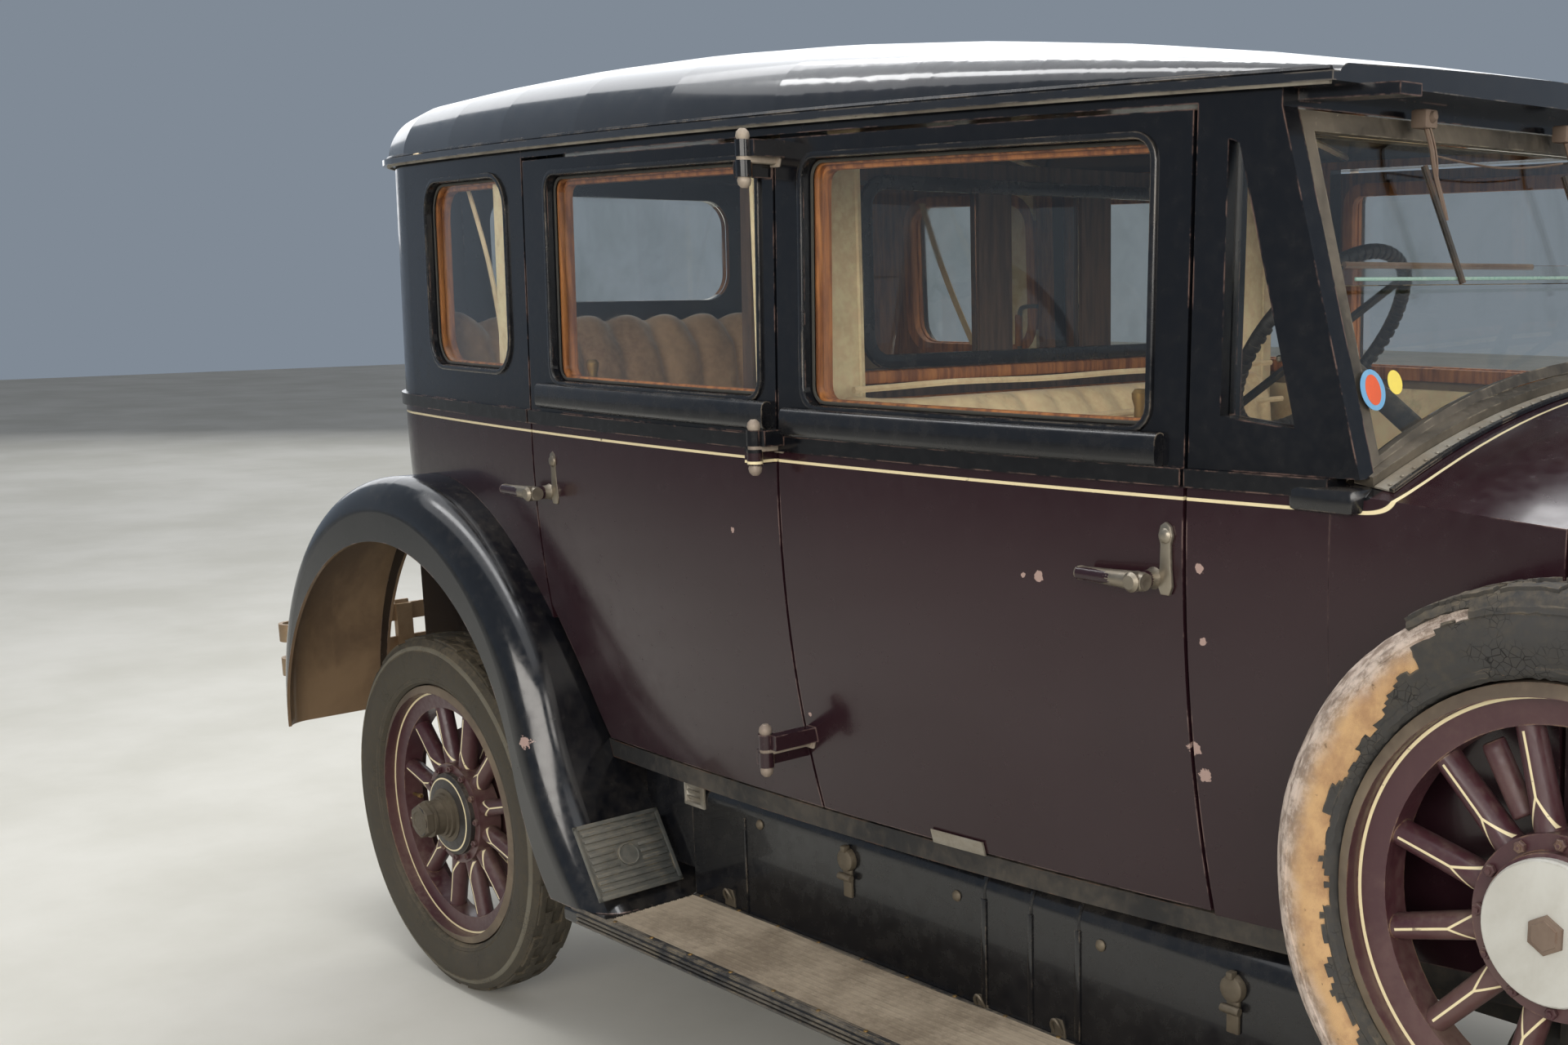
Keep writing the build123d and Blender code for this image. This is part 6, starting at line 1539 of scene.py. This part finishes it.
def make_seats():
    back = rear_axle_x
    pad("rear_backrest", [(back - 0.112, 1.085), (back - 0.15, 1.3), (back - 0.186, 1.5), (back - 0.206, 1.545),
        (back - 0.25, 1.552), (back - 0.29, 1.52), (back - 0.318, 1.085)], -0.566, 0.566, rear_velvet, 10, 0.03,
        (1, 0, 0.35), 0.045, scallop=0.022)
    cushion = pad("rear_cushion", [(back + 0.405, 0.945), (back + 0.418, 1.045), (back - 0.105, 1.075),
        (back - 0.12, 0.945)], -0.568, 0.568, rear_velvet, 11, 0.01, (0, 0, 1), 0.035)
    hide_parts("rear_seat")
    base = block("rear_seat_box", (back - 0.3, -0.585, 0.698), (back + 0.392, 0.585, 0.948), 0.012)
    fit(base, trim_cloth)
    front_back = pad("front_backrest", [(back + 1.368, 1.03), (back + 1.318, 1.37), (back + 1.29, 1.418),
        (back + 1.24, 1.42), (back + 1.226, 1.38), (back + 1.236, 1.03)], -0.606, 0.606, front_cloth, 14, 0.014,
        (1, 0, 0.1), 0.024, 0.012, 2.5, 0.016)
    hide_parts("front_seat")
    pad("front_cushion", [(back + 1.74, 0.895), (back + 1.748, 0.995), (back + 1.385, 0.985), (back + 1.38, 0.895)],
        -0.606, 0.606, front_cloth, 14, 0.008, (0, 0, 1), 0.03, 0.013, 3.0, 0.018)
    box = block("front_seat_box", (back + 1.225, -0.615, 0.698), (back + 1.735, 0.615, 0.9), 0.01)
    fit(box, trim_cloth)
    shell = block("front_seat_shell", (back + 1.216, -0.618, 0.89), (back + 1.24, 0.618, 1.402), 0.008)
    fit(shell, stained_wood)
    for name, x, z, half, tone in (("front_piping", back + 1.3, 1.428, 0.6, front_cloth),
            ("front_piping_low", back + 1.33, 1.35, 0.604, front_cloth)):
        line = [(x + 0.004 * math.sin(9 * y), y, z + 0.002 * math.sin(13 * y)) for y in [-half + 2 * half * n / 16
            for n in range(17)]]
        fit(rod(name, line, 0.0062, 10), tone)
    for hand, side in hands:
        y0, y1 = sorted((side * 0.47, side * 0.585))
        pad("rear_arm_" + hand, [(back + 0.3, 1.08), (back + 0.31, 1.2), (back + 0.26, 1.235), (back - 0.1, 1.26),
            (back - 0.12, 1.08)], y0, y1, rear_velvet, 0, 0.0, (0, 0, 1), 0.03, 0.012, 2.0, 0.012)


# Inside trim: door cards, pillar cloth, strap, pulls, winders, division dressing, roof bows, carpets

def make_inside():
    for name, x0, x1 in (("rear_door", -1.195, -0.425), ("front_door", -0.385, 0.408)):
        bodies = (name.split("_")[0] + "_left_door", name.split("_")[0] + "_right_door")
        low = 0.76
        start_x = x0 if name == "front_door" else -0.86
        card = flat_bar(name + "_card", start_x, x1, low, 1.375, -0.0425, -0.0342, 8, 0.003)
        both_sides(card, name + "_card", trim_cloth, bodies)
        pocket = flat_bar(name + "_pocket", max(start_x + 0.06, x0 + 0.08), x1 - 0.1, 0.84, 1.02, -0.056, -0.0425, 8,
            0.006)
        both_sides(pocket, name + "_pocket", trim_cloth, bodies)
        knob_x = -1.0984 if name == "rear_door" else 0.2908
        near = face_y(knob_x, 1.39) - 0.056
        spindle = turned("winder_spindle", [(0.018, 0.0), (0.0185, 0.004), (0.009, 0.007), (0.0085, 0.018)],
            (knob_x - 0.045, near, 1.385), "-Y", 20)
        crank = rod("winder_crank", [(knob_x - 0.045, near - 0.016, 1.385), (knob_x - 0.022, near - 0.019, 1.392),
            (knob_x, near - 0.019, 1.402)], 0.0052, 8)
        grip = turned("winder_grip", [(0.006, 0.0), (0.0065, 0.006), (0.0095, 0.012), (0.0085, 0.034), (0.012, 0.046),
            (0.0125, 0.054), (0.008, 0.06)], (knob_x, near - 0.019, 1.402), "Z", 20)
        both_sides(joined(name + "_winder", [spindle, crank, grip]), name + "_winder", brass, bodies)
    ring = window_ring("division_ring", 0.487, 1.452, 1.8, 0.06, -0.5505, -0.54, 0.026)
    fit(ring, black_enamel)
    for y in (-0.112, 0.171):
        edge = block("pane_edge_line", (-0.555, y - 0.002, 1.46), (-0.5515, y + 0.002, 1.79), 0.0006)
        fit(edge, pane_edge)
    pillar = flat_bar("rear_pillar_cloth", -1.425, -1.29, 1.4, 1.845, -0.052, -0.0342, 2, 0.005)
    both_sides(pillar, "rear_pillar_cloth", trim_cloth)
    x, y = -1.335, face_y(-1.335, 1.48) - 0.05
    pull = rod("grab_pull", [(x + 0.052, y, 1.542), (x + 0.01, y - 0.008, 1.543), (x - 0.004, y - 0.012, 1.528),
        (x - 0.006, y - 0.012, 1.432), (x + 0.01, y - 0.008, 1.417), (x + 0.052, y, 1.418)], 0.0058, 10)
    both_sides(pull, "grab_pull", hub_iron)
    grip = turned("grab_grip", [(0.008, -0.04), (0.0095, -0.034), (0.0088, 0.0), (0.0095, 0.034), (0.008, 0.04)],
        (x - 0.0058, y - 0.012, 1.48), "Z", 16)
    both_sides(grip, "grab_grip", stained_wood)
    strap = plate("window_strap", [(-1.655, -0.006, 1.806), (-1.637, -0.006, 1.806), (-1.474, -0.006, 1.44),
        (-1.494, -0.006, 1.44)], 0.0028, (0, -1, 0), 0, 0)
    only(strap)
    edit_all()
    bpy.ops.mesh.subdivide(number_cuts=6)
    leave_edit()
    for point in strap.data.vertices:
        point.co.y += face_y(point.co.x, point.co.z) - 0.066 - 0.012 * math.sin((point.co.z - 1.44) / 0.366 * math.pi)
    both_sides(rest(strap, 30), "window_strap", front_cloth)
    # the division, seen from the front: cloth at its ends and a capping rail
    for hand, side in hands:
        y0, y1 = sorted((side * 0.726, side * 0.487))
        panel = block("division_cloth_" + hand, (-0.5505, y0, 1.06), (-0.5385, y1, 1.828), 0.005)
        fit(panel, trim_cloth)
        pleats = [rod("pleat", [(-0.538, side * y, 1.08), (-0.5375, side * y, 1.45), (-0.538, side * y, 1.82)], 0.0035,
            6) for y in (0.5, 0.69)]
        fit(joined("division_welts_" + hand, pleats), trim_cloth)
    rail = block("division_rail", (-0.585, -0.69, 1.425), (-0.543, 0.69, 1.45), 0.006)
    fit(rail, stained_wood)
    quarter = flat_bar("quarter_cloth", -1.8, -1.345, 1.1, 1.4, -0.048, -0.0342, 4, 0.005)
    both_sides(quarter, "quarter_cloth", trim_cloth)
    lining = []
    for station in (-1.7, -1.25, -0.8, -0.35, 0.1):
        lining.append(rod("roof_bow", [(station, 0.735, 1.868), (station, 0.6, 1.905), (station, 0.3, 1.948),
            (station, 0.0, 1.962), (station, -0.3, 1.948), (station, -0.6, 1.905), (station, -0.735, 1.868)], 0.007,
            8))
    fit(joined("roof_bows", lining), trim_cloth)
    carpet = []
    for x0, x1 in ((-1.33, -0.59), (0.045, 0.62)):
        carpet.append(block("carpet", (x0, -0.56, 0.6962), (x1, 0.56, 0.7035), 0.003))
    fit(joined("floor_carpets", carpet), carpet_cloth)


# The driver's place

def make_driver_place():
    knobs = []
    for y, radius in ((-0.12, 0.046), (0.0, 0.046), (0.115, 0.036), (-0.215, 0.03)):
        knobs.append(turned("gauge", [(radius, 0.0), (radius, 0.007), (radius * 0.9, 0.0095), (radius * 0.86, 0.007),
            (radius * 0.2, 0.0068)], (0.5435, y, 1.285), "-X", 36))
    fit(joined("gauges", knobs), nickel)
    faces = []
    for y, radius in ((-0.12, 0.038), (0.0, 0.038), (0.115, 0.029), (-0.215, 0.024)):
        faces.append(turned("dial", [(radius, 0.0), (radius * 0.98, 0.0012), (0.004, 0.0014)], (0.5365, y, 1.285),
            "-X", 36))
    fit(joined("dials", faces), label_cream)
    hand_levers = []
    hand_levers.append(rod("gear_lever", [(0.42, 0.02, 0.7), (0.4, 0.02, 0.9), (0.33, 0.035, 1.06),
        (0.27, 0.05, 1.15)], 0.008, 10))
    hand_levers.append(rod("brake_lever", [(0.4, 0.1, 0.7), (0.37, 0.1, 0.9), (0.3, 0.1, 1.05)], 0.0075, 10))
    fit(joined("hand_levers", hand_levers), chassis_black)
    ball = turned("lever_knob", [(0.004, -0.022), (0.014, -0.018), (0.021, -0.006), (0.021, 0.006), (0.014, 0.018),
        (0.004, 0.022)], (0.267, 0.0505, 1.16), "Z", 24)
    fit(ball, wheel_plastic)
    pedals = []
    for y, wide in ((0.4, 0.03), (0.25, 0.03), (0.16, 0.018)):
        pedals.append(rod("pedal_arm", [(0.8, y, 0.7), (0.73, y, 0.8), (0.66, y, 0.845)], 0.0075, 8))
        pedals.append(block("pedal_pad", (0.64, y - wide, 0.825), (0.655, y + wide, 0.885), 0.005))
    fit(joined("pedals", pedals), chassis_black)
    # the boss, its quadrants, and finger notches under the hand wheel's rim
    middle = Vector((-0.1125, 0.32, 1.49))
    axis = Vector((-0.819, 0, 0.574)).normalized()
    across = Vector((0, 1, 0))
    up = axis.cross(across)
    boss = turned("hand_wheel_boss", [(0.036, 0.004), (0.038, 0.014), (0.03, 0.024), (0.022, 0.026), (0.02, 0.034),
        (0.012, 0.038)], middle, axis, 32)
    fit(boss, wheel_plastic, "hand_wheel")
    notch = turned("rim_notch", [(0.004, -0.0085), (0.0145, -0.0055), (0.0152, 0.0), (0.0145, 0.0055),
        (0.004, 0.0085)], sides=12)
    bumps = []
    for n in range(64):
        angle = 2 * math.pi * n / 64
        spoke = across * math.cos(angle) + up * math.sin(angle)
        along = (up * math.cos(angle) - across * math.sin(angle)).normalized()
        bump = copy_of(notch, "bump", Matrix.Identity(4))
        aim(bump, along, middle + spoke * 0.2145 - axis * 0.0022)
        bumps.append(bump)
    bpy.data.objects.remove(notch)
    fit(joined("rim_notches", bumps), wheel_plastic, "hand_wheel")
    control = [rod("quadrant", [middle + axis * 0.042 + across * 0.055 * math.cos(a) + up * 0.055 * math.sin(a)
        for a in [0.4 + 0.24 * n for n in range(9)]], 0.0035, 8)]
    for a in (0.7, 1.9):
        control.append(rod("lever", [middle + axis * 0.04, middle + axis * 0.046 + across * 0.075 * math.cos(a) + up
            * 0.075 * math.sin(a)], 0.003, 8, False))
        control.append(turned("tip", [(0.002, -0.007), (0.006, -0.004), (0.006, 0.004), (0.002, 0.007)],
            middle + axis * 0.046 + across * 0.077 * math.cos(a) + up * 0.077 * math.sin(a), "Z", 12))
    fit(joined("column_controls", control), nickel)


# The front of the car, hidden in the photograph: hood, radiator and lamps as on cars of the kind

def side_of(node_name, x, z):
    """How far out a solid's left side is at a place."""
    found, place, normal, _ = nodes[node_name].ray_cast(Vector((x, 1.5, z)), Vector((0, -1, 0)))
    return (place.y, normal) if found else (None, None)


def make_hood():
    louvre = turned("louvre", [(0.0012, -0.086), (0.01, -0.08), (0.0122, -0.066), (0.0122, 0.066), (0.01, 0.08),
        (0.0012, 0.086)], sides=12)
    for point in louvre.data.vertices:
        point.co.x = max(point.co.x, -0.001) * 0.75
        point.co.y *= 0.62
    face_out(louvre)
    rows = []
    for n in range(22):
        x = 1.115 + 0.031 * n
        y, normal = side_of("hood_sides", x, 1.0)
        if y is None:
            continue
        lean = math.degrees(math.atan2(normal.x, normal.y))
        rows.append(move(x, y - 0.0012, 1.0) @ turn(90 - lean, "Z"))
    both_sides(scattered(louvre, "hood_louvres", rows), "hood_louvres", hood_paint)
    catches = []
    for x in (1.14, 1.66):
        y, _ = side_of("hood_sides", x, 0.82)
        catches.append(turned("catch_knob", [(0.012, -0.002), (0.013, 0.004), (0.0075, 0.008), (0.0072, 0.02),
            (0.013, 0.024), (0.0125, 0.032), (0.006, 0.036)], (x, y, 0.8), "Y", 24))
        catches.append(rod("catch_hook", [(x, y + 0.02, 0.8), (x, y + 0.016, 0.76), (x, y + 0.004, 0.722)], 0.0045, 8))
    both_sides(catches, "hood_catches", nickel)
    grips = []
    for x in (1.25, 1.58):
        found, place, normal, _ = nodes["hood_top_left"].ray_cast(Vector((x, 1.2, 1.33)), Vector((0, -1, 0)))
        if found:
            grips.append(rod("hood_grip", [place + Vector((-0.045, -0.004, 0)), place + Vector((-0.04, 0.022, 0.004)),
                place + Vector((0.04, 0.022, 0.004)), place + Vector((0.045, -0.004, 0))], 0.0058, 10))
    if grips:
        both_sides(grips, "hood_grips", nickel, ("hood_lid_left", "hood_lid_right"))
    hinge = rod("hood_rod", [(0.968, 0, 1.4495), (1.842, 0, 1.4062)], 0.0065, 12, False)
    knuckles = [turned("hood_knuckle", [(0.0088, -0.03), (0.0094, -0.027), (0.0094, 0.027), (0.0088, 0.03)],
        (x, 0, 1.4495 - (x - 0.968) * 0.0495), (0.874, 0, -0.0433), 14) for x in [1.02 + 0.105 * n for n in range(8)]]
    fit(joined("hood_hinge", [hinge] + knuckles), nickel)


def make_radiator():
    """A comb of upright fins and cross tubes in the shell, and its filler cap."""
    core = grid_strip("radiator_core", -0.285, 0.285, -0.355, 0.335, 0.0, 52, 44)
    pick(core, "faces", lambda middle, normal: True)
    bpy.ops.mesh.inset(thickness=0.0016, use_individual=True)
    leave_edit()
    pick(core, "faces", lambda middle, normal: False)
    leave_edit()
    small = sorted(face.area for face in core.data.polygons)
    limit = (small[0] + small[-1]) / 2
    for face in core.data.polygons:
        face.select = face.area > limit
    bpy.ops.object.mode_set(mode="EDIT")
    push((0, 0, -0.006))
    leave_edit()
    core.data.transform(Matrix(((0, 0, 1, 1.9335), (1, 0, 0, 0), (0, 1, 0, 1.0), (0, 0, 0, 1))))
    rest(core, 0)
    fit(core, chassis_black)
    bezel = window_ring("radiator_bezel", 0.288, 0.655, 1.352, 0.06, 1.9425, 1.9505, 0.01)
    fit(bezel, nickel)
    cap = turned("radiator_cap", [(0.04, 0.0), (0.0445, 0.004), (0.0445, 0.014), (0.036, 0.02), (0.02, 0.026),
        (0.012, 0.034), (0.01, 0.046), (0.004, 0.05)], (1.9065, 0, 1.466), "Z", 32)
    wings = block("cap_wings", (1.9025, -0.052, 1.478), (1.9105, 0.052, 1.49), 0.0035)
    crown = joined("radiator_cap", [cap, wings])
    for point in crown.data.vertices:
        point.co.z = 1.448 + (point.co.z - 1.466) * 0.36
    fit(crown, nickel)


def window_ring(name, half, z0, z1, radius, x0, x1, wide):
    """An upright ring facing forwards."""
    outline = [(x0, y, z) for y, z in round_rect(-half, half, z0, z1, radius)]
    return rest(hollowed(name, outline, wide, (x1 - x0, 0, 0), 0.002), 40)


def make_lamps():
    x, y, z = 2.1615, 0.345, 1.115
    rim = turned("lamp_rim", [(0.1085, -0.006), (0.1085, 0.0), (0.1205, 0.0), (0.1235, -0.006), (0.124, -0.022),
        (0.121, -0.03), (0.115, -0.03)], (x, y, z), "X", 64, joined=True)
    clip = block("rim_clip", (x - 0.03, y - 0.008, z - 0.134), (x - 0.002, y + 0.008, z - 0.12), 0.003)
    both_sides([rim, clip], "lamp_rim", nickel)
    bowl = turned("lamp_mirror", [(0.108, -0.009), (0.1075, -0.01), (0.09, -0.0125), (0.05, -0.014), (0.016, -0.0142)],
        (x, y, z), "X", 48)
    both_sides(bowl, "lamp_mirror", mirror_metal)
    bulb = turned("lamp_bulb", [(0.012, -0.014), (0.012, -0.011), (0.008, -0.0095), (0.003, -0.009)], (x, y, z), "X",
        24)
    both_sides(bulb, "lamp_bulb", label_cream)
    tail = turned("tail_lamp_rim", [(0.0365, -0.002), (0.0365, 0.004), (0.042, 0.006), (0.044, 0.002),
        (0.044, -0.006)], (-2.4045, 0.64, 0.56), "-X", 40)
    fit(tail, nickel)


make_windows()
make_tyres()
make_spares()
make_wheel_fittings()
make_door_fittings()
make_drip_edge()
make_cowl_band()
make_boards()
make_kick_plates()
make_apron()
make_screen_fittings()
make_bumper_fittings()
make_seats()
make_inside()
make_driver_place()
make_hood()
make_radiator()
make_lamps()


# Studio: a pale floor, a soft wall colour all round, soft lamps and the camera

def stage_floor():
    bpy.ops.object.select_all(action="DESELECT")
    bpy.ops.mesh.primitive_plane_add(size=60, location=(0, 0, -0.002))
    floor = start("studio_floor")
    rest(floor, 0)
    material, _, shader, place = finish("studio_floor_paint", Roughness=0.75)
    tone = mix(step_mask(noise(place, 0.8, 6, 0.6), 0.3, 0.7), paint(206, 204, 196), paint(190, 188, 178))
    wire(tone, shader, "Base Color")
    floor.data.materials.append(material)


def lamp(name, size, place, at, power, colour=(1, 1, 1)):
    """A large soft lamp aimed at a point."""
    bpy.ops.object.light_add(type="AREA", location=place)
    light = bpy.context.object
    light.name = name
    light.data.shape = "RECTANGLE"
    light.data.size, light.data.size_y = size
    light.data.energy = power
    light.data.color = colour
    light.visible_camera = False
    light.visible_transmission = False
    light.rotation_mode = "QUATERNION"
    light.rotation_quaternion = (Vector(at) - Vector(place)).to_track_quat("-Z", "Y")


def studio():
    stage_floor()
    world = bpy.data.worlds.new("studio")
    bpy.context.scene.world = world
    world.use_nodes = True
    tree = world.node_tree
    light = tree.nodes["Background"]
    light.inputs[0].default_value = (0.88, 0.92, 1.0, 1)
    light.inputs[1].default_value = 0.3
    seen = node(tree, "Background", {"Color": paint(128, 138, 150), "Strength": 1.0})
    path = node(tree, "LightPath").outputs
    shown = larger(path["Is Camera Ray"], larger(path["Is Glossy Ray"], path["Is Transmission Ray"]))
    either(shown, light, seen, tree.nodes["World Output"])
    lamp("ceiling_softbox", (13.0, 9.0), (0.0, 0.5, 6.0), (0, 0.5, 0.0), 320)
    lamp("ceiling_strip", (7.0, 1.1), (-1.9, 2.0, 5.8), (-1.9, 2.0, 0.0), 150)
    lamp("near_strip", (7.0, 0.8), (-1.6, -1.7, 5.8), (-1.6, -1.7, 0.0), 90)
    lamp("side_softbox", (9.0, 3.0), (4.5, -7.0, 3.4), (-0.5, 0, 1.2), 520, (1.0, 0.95, 0.88))
    lamp("far_softbox", (21.0, 12.0), (-10.5, 9.0, 7.6), (0, 0, 2.0), 950)
    lamp("front_softbox", (6.0, 3.0), (7.5, 1.0, 3.0), (0, 0, 1.3), 260, (1.0, 0.95, 0.88))


def camera():
    bpy.ops.object.camera_add(location=(2.0025, -2.622, 1.625))
    view = bpy.context.object
    view.name = "photograph_camera"
    yaw, pitch, roll = math.radians(133.25), math.radians(-11.76), math.radians(-0.09)
    ahead = Vector((math.cos(yaw) * math.cos(pitch), math.sin(yaw) * math.cos(pitch), math.sin(pitch)))
    turned_to = ahead.to_track_quat("-Z", "Y").to_matrix().to_4x4() @ Matrix.Rotation(roll, 4, "Z")
    view.matrix_world = Matrix.Translation(view.location) @ turned_to
    view.data.lens = 41.08
    view.data.sensor_width = 36.0
    view.data.shift_x = -0.1889
    view.data.shift_y = 0.0785
    bpy.context.scene.camera = view


studio()
camera()
settings = bpy.context.scene.view_settings
settings.view_transform = "Standard"
